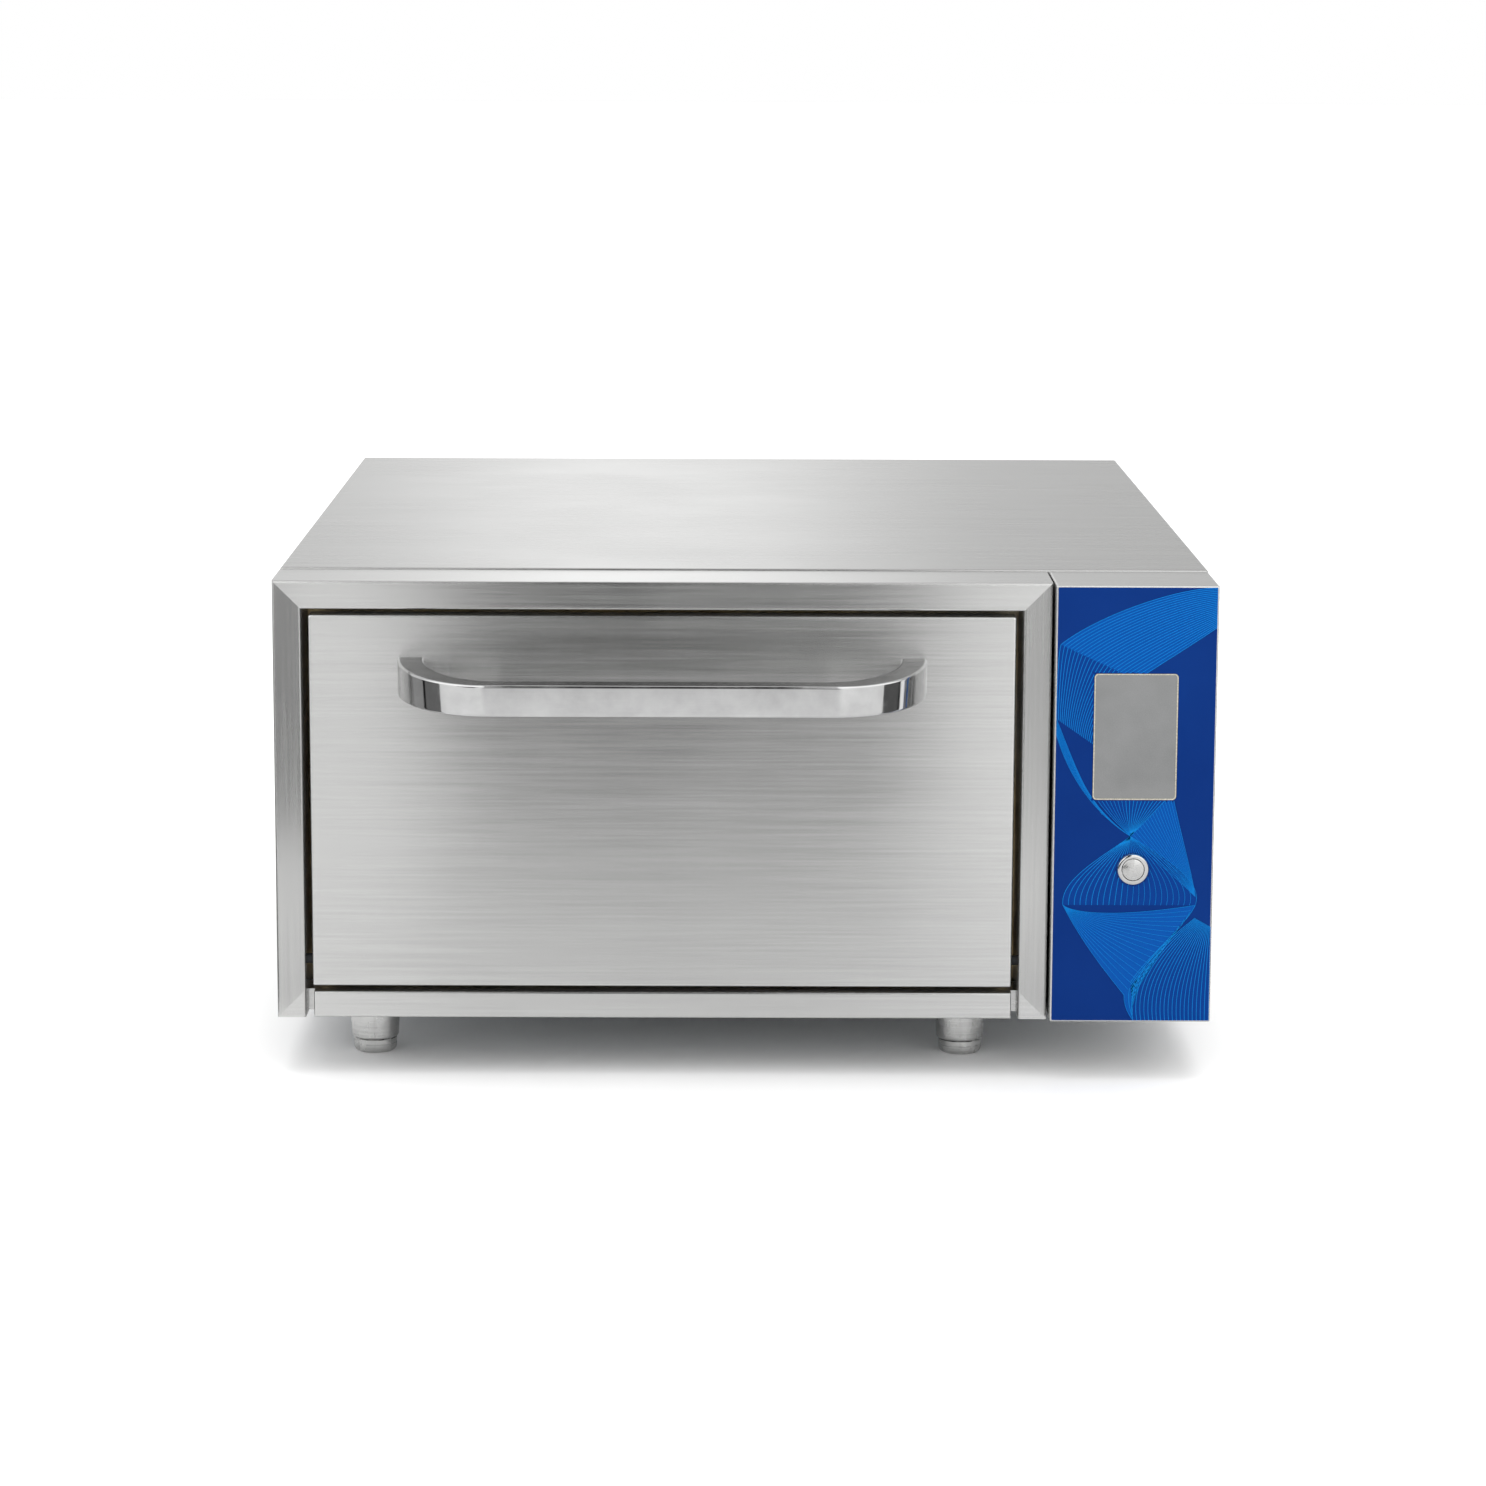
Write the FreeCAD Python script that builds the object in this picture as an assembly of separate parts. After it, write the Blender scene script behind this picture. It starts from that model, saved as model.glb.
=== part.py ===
"""Countertop electric deck oven for one 400 x 600 mm tray, built as separate sheet-metal, door, heating and control parts.

Working frame: X is across the front, Y runs back from the bezel's front face, Z runs up from the casing's underside.
Every node is shifted once, on saving, so that the stored origin is the bottom centre of the whole oven.
Units are millimetres.
"""
import FreeCAD
import Part
import math
import os

V = FreeCAD.Vector

# ---- overall sizes -------------------------------------------------------------------------------------------------
WIDTH = 740.0              # across the casing
CASE_HEIGHT = 350.0        # bezel and side height, without the top cover's own thickness
CASE_DEPTH = 880.0         # bezel face to the rear panel's outer face
FOOT_HEIGHT = 46.0         # floor to the casing's underside
SHEET = 1.5                # casing sheet
FIT = 0.3                  # gap between neighbours that do not touch

LEFT = -WIDTH / 2
RIGHT = WIDTH / 2
IN_LEFT = LEFT + SHEET
IN_RIGHT = RIGHT - SHEET

# ---- bezel around the door -----------------------------------------------------------------------------------------
CONTROL_WIDTH = 127.3      # control box on the right
CONTROL_GAP = 1.7          # shadow line between bezel and control box
BEZEL_FACE = 22.5          # visible width of each bezel member
MOUTH_STEP = 8.0           # that plate to the side panels and the top cover
FOLD_RADIUS = 2.0          # outside radius of a folded edge
BEZEL_RIGHT = RIGHT - CONTROL_WIDTH - CONTROL_GAP
OPEN_LEFT = LEFT + BEZEL_FACE
OPEN_RIGHT = BEZEL_RIGHT - BEZEL_FACE
OPEN_TOP = CASE_HEIGHT - BEZEL_FACE

# ---- door ----------------------------------------------------------------------------------------------------------
DOOR_SIDE_GAP = 5.5
DOOR_TOP_GAP = 4.5
DOOR_BOTTOM = 25.5
SKIN_DEPTH = 20.0          # folded outer tray
DOOR_THICKNESS = 52.0
SEAL_HEIGHT = 8.0          # closed door to the plate round the chamber's mouth
INNER_INSET = 14.0         # inner panel smaller than the skin on every side
HINGE_Y = 9.0
HINGE_ABOVE_BOTTOM = 20.5  # pivot above the door's lower edge
HINGE_PIN_RADIUS = 4.0
PIN_RUNNING = 0.05         # radial clearance of the pin in the bush
BUSH_RADIUS = 6.0
REVEAL_DEPTH = DOOR_THICKNESS + SEAL_HEIGHT
BEZEL_DEPTH = REVEAL_DEPTH + MOUTH_STEP
DOOR_LEFT = OPEN_LEFT + DOOR_SIDE_GAP
DOOR_RIGHT = OPEN_RIGHT - DOOR_SIDE_GAP
DOOR_TOP = OPEN_TOP - DOOR_TOP_GAP
DOOR_MIDDLE = (DOOR_LEFT + DOOR_RIGHT) / 2
HINGE_Z = DOOR_BOTTOM + HINGE_ABOVE_BOTTOM

# ---- handle --------------------------------------------------------------------------------------------------------
HANDLE_HALF = 207.5        # half the length at the door
HANDLE_REACH = 72.0        # door face to the front of the grip
HANDLE_END_WIDTH = 20.5    # bar thickness at the door
HANDLE_GRIP = 12.0         # bar thickness at the front
HANDLE_BELOW_TOP = 33.2    # door's top edge to the handle's top edge
HANDLE_END_HEIGHT = 28.8
HANDLE_GRIP_HEIGHT = 25.1
HANDLE_DROP = 11.0         # the top edge falls this much from the door to the front
HANDLE_EDGE = 1.6          # rounded long edges
HANDLE_SCREW_RADIUS = 3.0
HANDLE_TOP = DOOR_TOP - HANDLE_BELOW_TOP

# ---- chamber -------------------------------------------------------------------------------------------------------
CHAMBER_WIDTH = 440.0
CHAMBER_REAR_ROOM = 180.0  # inside of the chamber's rear wall to the rear panel
CHAMBER_FLOOR = 66.0
CHAMBER_ROOF_ROOM = 70.0   # chamber's roof to the top of the casing
CHAMBER_BACK = CASE_DEPTH - CHAMBER_REAR_ROOM
CHAMBER_ROOF = CASE_HEIGHT - CHAMBER_ROOF_ROOM
CHAMBER_LEFT = DOOR_MIDDLE - CHAMBER_WIDTH / 2
CHAMBER_RIGHT = DOOR_MIDDLE + CHAMBER_WIDTH / 2
SEAL_WIDTH = 9.0
SEAL_CLEAR = 4.0           # seal outside the mouth's edge
SEAL_ROUND = 3.0
STONE_THICKNESS = 16.0
STONE_RAISE = 30.0         # chamber's floor to the stone's underside
STONE_UNDERSIDE = CHAMBER_FLOOR + STONE_RAISE
STONE_GAP = 2.0
RAIL_WIDTH = 15.0
INSULATION_FREE = 1.5      # wool to the side panel's flange
INSULATION_TOP = 60.0
INSULATION_BACK = 70.0
PARTITION_INSET = 7.0      # wall between hot side and controls, inside the bezel's right edge
PARTITION_X = BEZEL_RIGHT - PARTITION_INSET

# ---- heating elements ----------------------------------------------------------------------------------------------
ELEMENT_RADIUS = 4.0
ELEMENT_LEG_GAP = 60.0     # between a hairpin's legs
ELEMENT_PITCH = 140.0
ELEMENT_BEHIND_MOUTH = 20.5
ELEMENT_TAIL_ROOM = 84.0   # element tails to the rear panel's outer face
ELEMENT_OFF_WALL = 14.0    # element axis to the chamber's floor or roof
ELEMENT_FRONT = REVEAL_DEPTH + SHEET + ELEMENT_BEHIND_MOUTH
ELEMENT_TAIL = CASE_DEPTH - ELEMENT_TAIL_ROOM
UPPER_Z = CHAMBER_ROOF - ELEMENT_OFF_WALL
LOWER_Z = CHAMBER_FLOOR + ELEMENT_OFF_WALL
HOLE_CLEAR = 0.2

# ---- flue and damper -----------------------------------------------------------------------------------------------
FLUE_OFF_CENTRE = 124.5    # from the chamber's middle
FLUE_BELOW_ROOF = 58.0
FLUE_RADIUS = 20.0
FLUE_X = DOOR_MIDDLE + FLUE_OFF_CENTRE
FLUE_Z = CHAMBER_ROOF - FLUE_BELOW_ROOF
FLUE_WALL = 1.5            # collar outside
DUCT_WALL = 1.0            # duct inside the casing
FLUE_FLANGE = 10.0
FLUE_REACH = 30.0          # collar behind the rear panel
DAMPER_ROOM = 58.0         # damper shaft to the rear panel's outer face
DAMPER_Y = CASE_DEPTH - DAMPER_ROOM
DAMPER_SHAFT = 2.5
DAMPER_GAP = 0.3

# ---- controls ------------------------------------------------------------------------------------------------------
CONTROL_PROUD = 13.0       # control box in front of the bezel
CONTROL_BOTTOM = 1.0
OVERLAY = 0.8
DISPLAY_SIZE = (65.6, 100.2)
DISPLAY_BELOW_TOP = 119.5  # casing top to the display's middle
DISPLAY_CORNER = 3.0
LENS = 1.5
BUTTON_BELOW_DISPLAY = 105.7
BUTTON_BODY = 11.0         # fits a 22 mm hole
BUTTON_FLANGE = BUTTON_BODY + 1.7
BUTTON_CAP = BUTTON_BODY - 2.2
BUTTON_RISE = 2.2          # flange in front of the overlay
BUTTON_TRAVEL = 2.0
CONTROL_LEFT = RIGHT - CONTROL_WIDTH
CONTROL_MIDDLE = (CONTROL_LEFT + RIGHT) / 2
CONTROL_FACE = -CONTROL_PROUD
DISPLAY_Z = CASE_HEIGHT - DISPLAY_BELOW_TOP
BUTTON_Z = DISPLAY_Z - BUTTON_BELOW_DISPLAY

# ---- feet ----------------------------------------------------------------------------------------------------------
FOOT_INSET_LEFT = 71.0     # casing's left edge to the left feet
FOOT_INSET_RIGHT = 64.0    # bezel's right edge to the right feet
FOOT_BEHIND_BEZEL = 12.0
FOOT_INSET_REAR = 80.0     # rear face to the rear feet
FOOT_X = (LEFT + FOOT_INSET_LEFT, BEZEL_RIGHT - FOOT_INSET_RIGHT)
FOOT_Y = (BEZEL_DEPTH + FOOT_BEHIND_BEZEL, CASE_DEPTH - FOOT_INSET_REAR)
LEG_TOP_RADIUS = 20.5
LEG_LOW_RADIUS = 19.0
LEG_LENGTH = 34.0
INSERT_RADIUS = 17.4
INSERT_STEM = 6.0
FOOT_TRAVEL = 12.0

# ---- fan, gland ----------------------------------------------------------------------------------------------------
FAN_SIZE = 80.0
FAN_DEPTH = 25.0
FAN_BELOW_TOP = 100.0
FAN_DUCT_WALL = 2.0        # fan housing outside its duct
FAN_HUB = 16.0
SUPPLY_INSET = 67.0        # casing's right edge to the fan and the gland
GLAND_Z = 60.0
GLAND_BORE = 6.5
GLAND_WALL = 5.5
FAN_X = RIGHT - SUPPLY_INSET
FAN_Z = CASE_HEIGHT - FAN_BELOW_TOP
FAN_DUCT = FAN_SIZE / 2 - FAN_DUCT_WALL
GLAND_X = RIGHT - SUPPLY_INSET
GLAND_THREAD = GLAND_BORE + GLAND_WALL

BACK = CASE_DEPTH
IN_BACK = CASE_DEPTH - SHEET
SHIFT = V(0, (HANDLE_REACH - CASE_DEPTH - FLUE_REACH) / 2, FOOT_HEIGHT)


# ---- helpers -------------------------------------------------------------------------------------------------------
def block(x, y, z):
    """Box from three (low, high) pairs."""
    return Part.makeBox(x[1] - x[0], y[1] - y[0], z[1] - z[0], V(x[0], y[0], z[0]))


def rod(radius, start, end):
    """Cylinder between two points."""
    start, end = V(*start), V(*end)
    return Part.makeCylinder(radius, (end - start).Length, start, end - start)


def tube(outer, inner, start, end):
    return rod(outer, start, end).cut(rod(inner, start, end))


def join(*shapes):
    whole = shapes[0].fuse(list(shapes[1:])) if len(shapes) > 1 else shapes[0]
    return whole.removeSplitter()


def round_edges(shape, radius, wanted):
    """Fillets the edges that the test `wanted` accepts."""
    return shape.makeFillet(radius, [e for e in shape.Edges if wanted(e)])


def lies_on(edge, axis, value):
    """True if the whole edge has this coordinate."""
    box = edge.BoundBox
    low = getattr(box, axis + "Min")
    high = getattr(box, axis + "Max")
    return abs(low - value) < 1e-4 and abs(high - value) < 1e-4


def runs_along(edge, axis):
    box = edge.BoundBox
    lengths = {"X": box.XLength, "Y": box.YLength, "Z": box.ZLength}
    return all(length < 1e-4 for name, length in lengths.items() if name != axis)


def prism(points, direction):
    """Solid from a closed polygon swept along a vector."""
    wire = Part.makePolygon([V(*p) for p in points] + [V(*points[0])])
    return Part.Face(wire).extrude(V(*direction))


def hexagon(across_flats, start, end):
    """Hexagonal bar along +Y between two points."""
    corner = across_flats / math.sqrt(3)
    ring = [(start[0] + corner * math.cos(math.radians(60 * k)), start[1],
             start[2] + corner * math.sin(math.radians(60 * k))) for k in range(6)]
    return prism(ring, (0, end[1] - start[1], 0))


def cable(points, radius):
    """Round cable on straight runs joined by tangent arcs, each as large as its two runs allow."""
    points = [V(*p) for p in points]
    edges = []
    start = points[0]
    for before, corner, after in zip(points, points[1:], points[2:]):
        back = (before - corner).normalize()
        on = (after - corner).normalize()
        turn = math.pi - back.getAngle(on)
        setback = 0.45 * min((before - corner).Length, (after - corner).Length)
        arc_radius = setback / math.tan(turn / 2)
        first = corner + back * setback
        last = corner + on * setback
        inward = (back + on).normalize()
        centre = corner + inward * (arc_radius / math.cos(turn / 2))
        edges.append(Part.LineSegment(start, first).toShape())
        edges.append(Part.Arc(first, centre - inward * arc_radius, last).toShape())
        start = last
    edges.append(Part.LineSegment(start, points[-1]).toShape())
    path = Part.Wire(edges)
    profile = Part.Wire(Part.makeCircle(radius, points[0], points[1] - points[0]))
    return path.makePipeShell([profile], True, False)


def save(node, *solids):
    shape = solids[0] if len(solids) == 1 else Part.makeCompound(list(solids))
    shape = shape.copy()
    shape.translate(SHIFT)
    shape.exportStep("parts/" + node + ".step")
    print(node, len(shape.Solids), "solids", "valid" if shape.isValid() else "NOT VALID")


# ---- casing --------------------------------------------------------------------------------------------------------
FLANGE = 14.0              # inward flanges of the side panels
LIP = 13.5                 # the top cover's turned-down edges
PAN_FLANGE = 23.5
SILL_FRONT = 14.0
SILL_BACK = 44.0
SILL_LOW = 3.0
SILL_HIGH = 20.0
APRON_TOP = 21.0
SIDE_TOP = CASE_HEIGHT - LIP - 0.5
REAR_SCREW_X = (LEFT + 8.0, RIGHT - 8.0)
REAR_SCREW_COUNT = 4
REAR_SCREW_END = 40.0      # casing's bottom and top to the first and last screw
REAR_SCREW_RADIUS = 2.0
LOW_SCREW_INSET = 120.0
LOW_SCREW_COUNT = 4
LOW_SCREW_Z = 14.0
SCREW_HEAD = 4.0
SCREW_HEAD_HEIGHT = 2.2


def spread(low, high, count):
    """Evenly spaced values from low to high."""
    return [low + (high - low) * k / (count - 1) for k in range(count)]


def rear_screw_places():
    """Where the rear panel is screwed to the side panels' and the base pan's flanges."""
    upright = spread(REAR_SCREW_END, CASE_HEIGHT - REAR_SCREW_END, REAR_SCREW_COUNT)
    lower = spread(LEFT + LOW_SCREW_INSET, RIGHT - LOW_SCREW_INSET, LOW_SCREW_COUNT)
    return [(x, z) for x in REAR_SCREW_X for z in upright] + [(x, LOW_SCREW_Z) for x in lower]


def rear_screw_holes():
    return [rod(REAR_SCREW_RADIUS + HOLE_CLEAR, (x, IN_BACK - 4, z), (x, BACK + 1, z)) for x, z in rear_screw_places()]


def base_pan():
    """Floor of the casing with turned-up edges, a tongue under the door and holes for the feet's studs."""
    floor = block((IN_LEFT, IN_RIGHT), (BEZEL_DEPTH + FIT, IN_BACK), (0, SHEET))
    tongue = block((OPEN_LEFT, OPEN_RIGHT), (SILL_BACK, BEZEL_DEPTH + FIT), (0, SHEET))
    side_y = (BEZEL_DEPTH + FLANGE, IN_BACK - FLANGE)
    left = block((IN_LEFT, IN_LEFT + SHEET), side_y, (SHEET, PAN_FLANGE))
    right = block((IN_RIGHT - SHEET, IN_RIGHT), side_y, (SHEET, PAN_FLANGE))
    rear_x = (IN_LEFT + FLANGE + FIT, IN_RIGHT - FLANGE - FIT)
    rear = block(rear_x, (IN_BACK - SHEET, IN_BACK), (SHEET, PAN_FLANGE))
    front = block((OPEN_LEFT, OPEN_RIGHT), (SILL_BACK, SILL_BACK + SHEET), (SHEET, SILL_HIGH))
    pan = join(floor, tongue, left, right, rear, front)
    studs = [rod(STUD_RADIUS + HOLE_CLEAR, (x, y, -1), (x, y, SHEET + 1)) for x in FOOT_X for y in FOOT_Y]
    return pan.cut(studs + rear_screw_holes())


def side_panel(side):
    """Flat side with a flange front and back; side is -1 for the left one and 1 for the right one."""
    outer = side * WIDTH / 2
    inner = outer - side * SHEET
    edge = inner - side * FLANGE
    sheet = block(sorted((outer, inner)), (BEZEL_DEPTH, IN_BACK), (0, SIDE_TOP))
    front = block(sorted((inner, edge)), (BEZEL_DEPTH, BEZEL_DEPTH + SHEET), (SHEET + FIT, SIDE_TOP))
    rear = block(sorted((inner, edge)), (IN_BACK - SHEET, IN_BACK), (SHEET + FIT, SIDE_TOP))
    return join(sheet, front, rear).cut(rear_screw_holes())


VENT_LENGTH = 60.0
VENT_HEIGHT = 5.0
VENT_PITCH = 13.0
VENT_COLUMN = 80.0
VENT_LOW = 70.0
SIDE_VENT_FRONT = 200.0    # bezel face to the first column
SIDE_VENT_BACK = 240.0     # rear face to the rear group
REAR_VENT_INSET = 85.0


def vent_slots(first, count, rows, pitch, across, along):
    """Rows of round-ended slots cut through a sheet: `first` is the lowest slot's centre, `across` the way through."""
    cuts = []
    half = VENT_LENGTH / 2 - VENT_HEIGHT / 2
    for column in range(count):
        for row in range(rows):
            centre = V(*first) + V(*along) * (column * pitch) + V(0, 0, row * VENT_PITCH)
            ends = [centre - V(*along) * half, centre + V(*along) * half]
            reach = V(*across) * 4
            for end in ends:
                cuts.append(rod(VENT_HEIGHT / 2, end - reach, end + reach))
            low = ends[0] - reach - V(0, 0, VENT_HEIGHT / 2)
            size = (ends[1] - ends[0]) + reach * 2 + V(0, 0, VENT_HEIGHT)
            cuts.append(Part.makeBox(size.x, size.y, size.z, low))
    return cuts


def right_side_panel():
    """Service side beside the controls, with three columns of air slots."""
    slots = vent_slots((IN_RIGHT, SIDE_VENT_FRONT, VENT_LOW), 3, 9, VENT_COLUMN, (1, 0, 0), (0, 1, 0))
    rear_group = CASE_DEPTH - SIDE_VENT_BACK
    slots += vent_slots((IN_RIGHT, rear_group, VENT_LOW), 2, 9, VENT_COLUMN, (1, 0, 0), (0, 1, 0))
    return side_panel(1).cut(slots)


def rear_panel():
    """Back of the casing with openings for the fan, the flue collar, the cable gland and air slots."""
    sheet = block((LEFT, RIGHT), (IN_BACK, BACK), (0, SIDE_TOP))
    holes = [rod(FAN_DUCT, (FAN_X, IN_BACK - 1, FAN_Z), (FAN_X, BACK + 1, FAN_Z)),
             rod(FLUE_RADIUS + HOLE_CLEAR, (FLUE_X, IN_BACK - 1, FLUE_Z), (FLUE_X, BACK + 1, FLUE_Z)),
             rod(GLAND_THREAD + HOLE_CLEAR, (GLAND_X, IN_BACK - 1, GLAND_Z), (GLAND_X, BACK + 1, GLAND_Z))]
    holes += [rod(1.9, (x, IN_BACK - 1, z), (x, BACK + 1, z)) for x, z in guard_screw_places()]
    slots = vent_slots((LEFT + REAR_VENT_INSET, IN_BACK, VENT_LOW), 3, 12, VENT_COLUMN, (0, 1, 0), (1, 0, 0))
    return sheet.cut(holes + slots + rear_screw_holes())


def top_cover():
    """Pressed lid: a flat sheet with all four edges turned down and rounded."""
    outside = block((LEFT, RIGHT), (BEZEL_DEPTH, BACK), (CASE_HEIGHT - LIP, CASE_HEIGHT + SHEET))
    outside = round_edges(outside, FOLD_RADIUS, lambda e: lies_on(e, "Z", CASE_HEIGHT + SHEET) or runs_along(e, "Z"))
    inside = block((IN_LEFT, IN_RIGHT), (BEZEL_DEPTH + SHEET, IN_BACK), (CASE_HEIGHT - LIP - 1, CASE_HEIGHT))
    return outside.cut(inside)


def top_rail():
    """Upper bezel member: front face, top flange and the reveal above the door, mitred at both ends."""
    bar = block((LEFT, BEZEL_RIGHT), (0, BEZEL_DEPTH), (OPEN_TOP, CASE_HEIGHT))
    bar = round_edges(bar, FOLD_RADIUS, lambda e: lies_on(e, "Y", 0) and runs_along(e, "X"))
    hollow = block((LEFT - 1, BEZEL_RIGHT + 1), (SHEET, BEZEL_DEPTH + 1), (OPEN_TOP + SHEET, CASE_HEIGHT - SHEET))
    short = block((LEFT - 1, BEZEL_RIGHT + 1), (REVEAL_DEPTH, BEZEL_DEPTH + 1), (OPEN_TOP - 1, OPEN_TOP + SHEET))
    return bar.cut([hollow, short, mitre_below(LEFT, 1), mitre_below(BEZEL_RIGHT, -1)])


def mitre_below(corner_x, inward):
    """Everything under the 45 degree line from the bezel's outer top corner."""
    reach = BEZEL_FACE
    outer = corner_x - inward * 2
    points = [(outer, -1, CASE_HEIGHT + 2), (corner_x + inward * reach, -1, CASE_HEIGHT - reach),
              (corner_x + inward * reach, -1, OPEN_TOP - 2), (outer, -1, OPEN_TOP - 2)]
    return prism(points, (0, BEZEL_DEPTH + 3, 0))


def stile(outer_x, inward):
    """Upright bezel member, mitred into the top rail and cut off at 45 degrees above the bottom corner piece."""
    inner_x = outer_x + inward * BEZEL_FACE
    bar = block(sorted((outer_x, inner_x)), (0, BEZEL_DEPTH), (0, CASE_HEIGHT))
    bar = round_edges(bar, FOLD_RADIUS, lambda e: lies_on(e, "Y", 0) and runs_along(e, "Z"))
    hollow_x = sorted((outer_x + inward * SHEET, inner_x - inward * SHEET))
    hollow = block(hollow_x, (SHEET, BEZEL_DEPTH + 1), (-1, CASE_HEIGHT + 1))
    short = block(sorted((inner_x - inward * SHEET, inner_x + inward)), (REVEAL_DEPTH, BEZEL_DEPTH + 1), (-1, CASE_HEIGHT))
    above = prism([(outer_x - inward * 2, -1, CASE_HEIGHT + 2), (inner_x, -1, OPEN_TOP),
                   (inner_x + inward * 2, -1, OPEN_TOP), (inner_x + inward * 2, -1, CASE_HEIGHT + 2)],
                  (0, BEZEL_DEPTH + 3, 0))
    pin = hinge_bore(HINGE_PIN_RADIUS + 0.6)
    return bar.cut([hollow, short, above, corner_wedge(outer_x, inward), pin])


def corner_wedge(outer_x, inward):
    """Triangle under the 45 degree line at a stile's foot, up to the reveal."""
    reach = BEZEL_FACE - SHEET
    inner = outer_x + inward * reach
    return prism([(outer_x, -1, 0), (inner, -1, 0), (inner, -1, reach)], (0, BEZEL_DEPTH + 3, 0))


def bottom_corner(outer_x, inward):
    """Folded foot of the bezel: a triangular front tab and the bottom flange, mitred to the stile."""
    inner_x = outer_x + inward * (BEZEL_FACE - SHEET)
    span = sorted((outer_x, inner_x))
    tab = block(span, (0, SHEET), (0, BEZEL_FACE))
    flange = block(span, (0, BEZEL_DEPTH), (0, SHEET))
    return join(tab, flange).common(corner_wedge(outer_x, inward))


def sill_channel():
    """Set-back lower rail between the stiles, open to the rear."""
    bar = block((OPEN_LEFT, OPEN_RIGHT), (SILL_FRONT, SILL_BACK), (SILL_LOW, SILL_HIGH))
    hollow = block((OPEN_LEFT - 1, OPEN_RIGHT + 1), (SILL_FRONT + SHEET, SILL_BACK + 1), (SILL_LOW + SHEET, SILL_HIGH - SHEET))
    plug = rod(PLUG_STEM + HOLE_CLEAR, (PLUG_PLACES[0][0], PLUG_PLACES[0][1], 0), (PLUG_PLACES[0][0], PLUG_PLACES[0][1], 6))
    return bar.cut([hollow, plug])


def lower_apron():
    """Trim strip under the door: a shallow tray, open behind, screwed to the sill channel."""
    span = (DOOR_LEFT + 1.0, DOOR_RIGHT)
    tray = block(span, (0, SILL_FRONT), (0, APRON_TOP))
    tray = round_edges(tray, FOLD_RADIUS - 0.5, lambda e: lies_on(e, "Y", 0))
    hollow = block((span[0] + SHEET, span[1] - SHEET), (SHEET, SILL_FRONT + 1), (SHEET, APRON_TOP - SHEET))
    return tray.cut(hollow)


def casing_screws():
    """Pan-head screws of the rear panel, and the row under the sill."""
    screws = []
    for x, z in rear_screw_places():
        head = Part.makeCylinder(SCREW_HEAD, SCREW_HEAD_HEIGHT, V(x, BACK, z), V(0, 1, 0))
        head = round_edges(head, 1.2, lambda e: lies_on(e, "Y", BACK + SCREW_HEAD_HEIGHT))
        slot = block((x - 3, x + 3), (BACK + 1.2, BACK + 4), (z - 0.6, z + 0.6))
        cross = block((x - 0.6, x + 0.6), (BACK + 1.2, BACK + 4), (z - 3, z + 3))
        shank = rod(REAR_SCREW_RADIUS, (x, IN_BACK - 3, z), (x, BACK, z))
        screws.append(join(head.cut([slot, cross]), shank))
    for x in spread(OPEN_LEFT + SILL_SCREW_INSET, OPEN_RIGHT - SILL_SCREW_INSET, SILL_SCREW_COUNT):
        head = Part.makeCylinder(SCREW_HEAD, SCREW_HEAD_HEIGHT, V(x, SILL_SCREW_Y, SILL_LOW), V(0, 0, -1))
        screws.append(round_edges(head, 1.2, lambda e: lies_on(e, "Z", SILL_LOW - SCREW_HEAD_HEIGHT)))
    return screws


SILL_SCREW_COUNT = 4
SILL_SCREW_INSET = 21.5
SILL_SCREW_Y = 24.0
PLUG_STEM = 5.0
PLUG_HEAD = 7.0
PLUG_INSET = 85.5          # door opening's left edge to the sill plug
PLUG_PLACES = ((OPEN_LEFT + PLUG_INSET, 30.0, SILL_LOW), (CONTROL_MIDDLE, 24.0, CONTROL_BOTTOM), (CONTROL_MIDDLE, CHAMBER_BACK, 0.0))


def base_plugs():
    """Black push-in plugs in the underside, under the sill and the control side."""
    plugs = []
    for x, y, z in PLUG_PLACES:
        head = Part.makeCylinder(PLUG_HEAD, 4.0, V(x, y, z), V(0, 0, -1))
        head = round_edges(head, 1.5, lambda e, low=z - 4.0: lies_on(e, "Z", low))
        plugs.append(join(head, rod(PLUG_STEM, (x, y, z), (x, y, z + 3.5))))
    return plugs


def plug_hole(place):
    x, y, z = place
    return rod(PLUG_STEM + HOLE_CLEAR, (x, y, z - 1), (x, y, z + 4))


# ---- chamber -------------------------------------------------------------------------------------------------------
LINER = 1.5
MOUTH_Y = REVEAL_DEPTH + SHEET
LINER_BACK = CHAMBER_BACK + LINER
BULKHEAD_Y = LINER_BACK + INSULATION_BACK
PROBE_X = DOOR_MIDDLE + 56.0
PROBE_Z = CHAMBER_ROOF - 42.0
PROBE_RADIUS = 3.0


def element_centres():
    return [DOOR_MIDDLE + ELEMENT_PITCH * k for k in (-1, 0, 1)]


def element_leg_places():
    """(x, z) of every element leg."""
    legs = [c + side * ELEMENT_LEG_GAP / 2 for c in element_centres() for side in (-1, 1)]
    return [(x, z) for x in legs for z in (LOWER_Z, UPPER_Z)]


def rear_passages(clear):
    """Holes through the chamber's rear wall and what lies behind it: element legs, probe and flue."""
    holes = [rod(ELEMENT_RADIUS + clear, (x, CHAMBER_BACK - 1, z), (x, IN_BACK, z)) for x, z in element_leg_places()]
    holes.append(rod(PROBE_RADIUS + clear, (PROBE_X, CHAMBER_BACK - 1, PROBE_Z), (PROBE_X, IN_BACK, PROBE_Z)))
    return holes


def flue_passage(radius, start, end):
    return rod(radius, (FLUE_X, start, FLUE_Z), (FLUE_X, end, FLUE_Z))


def rounded_window(x, y, z, radius):
    """Box with its four edges along Y rounded."""
    return round_edges(block(x, y, z), radius, lambda e: runs_along(e, "Y"))


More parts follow.
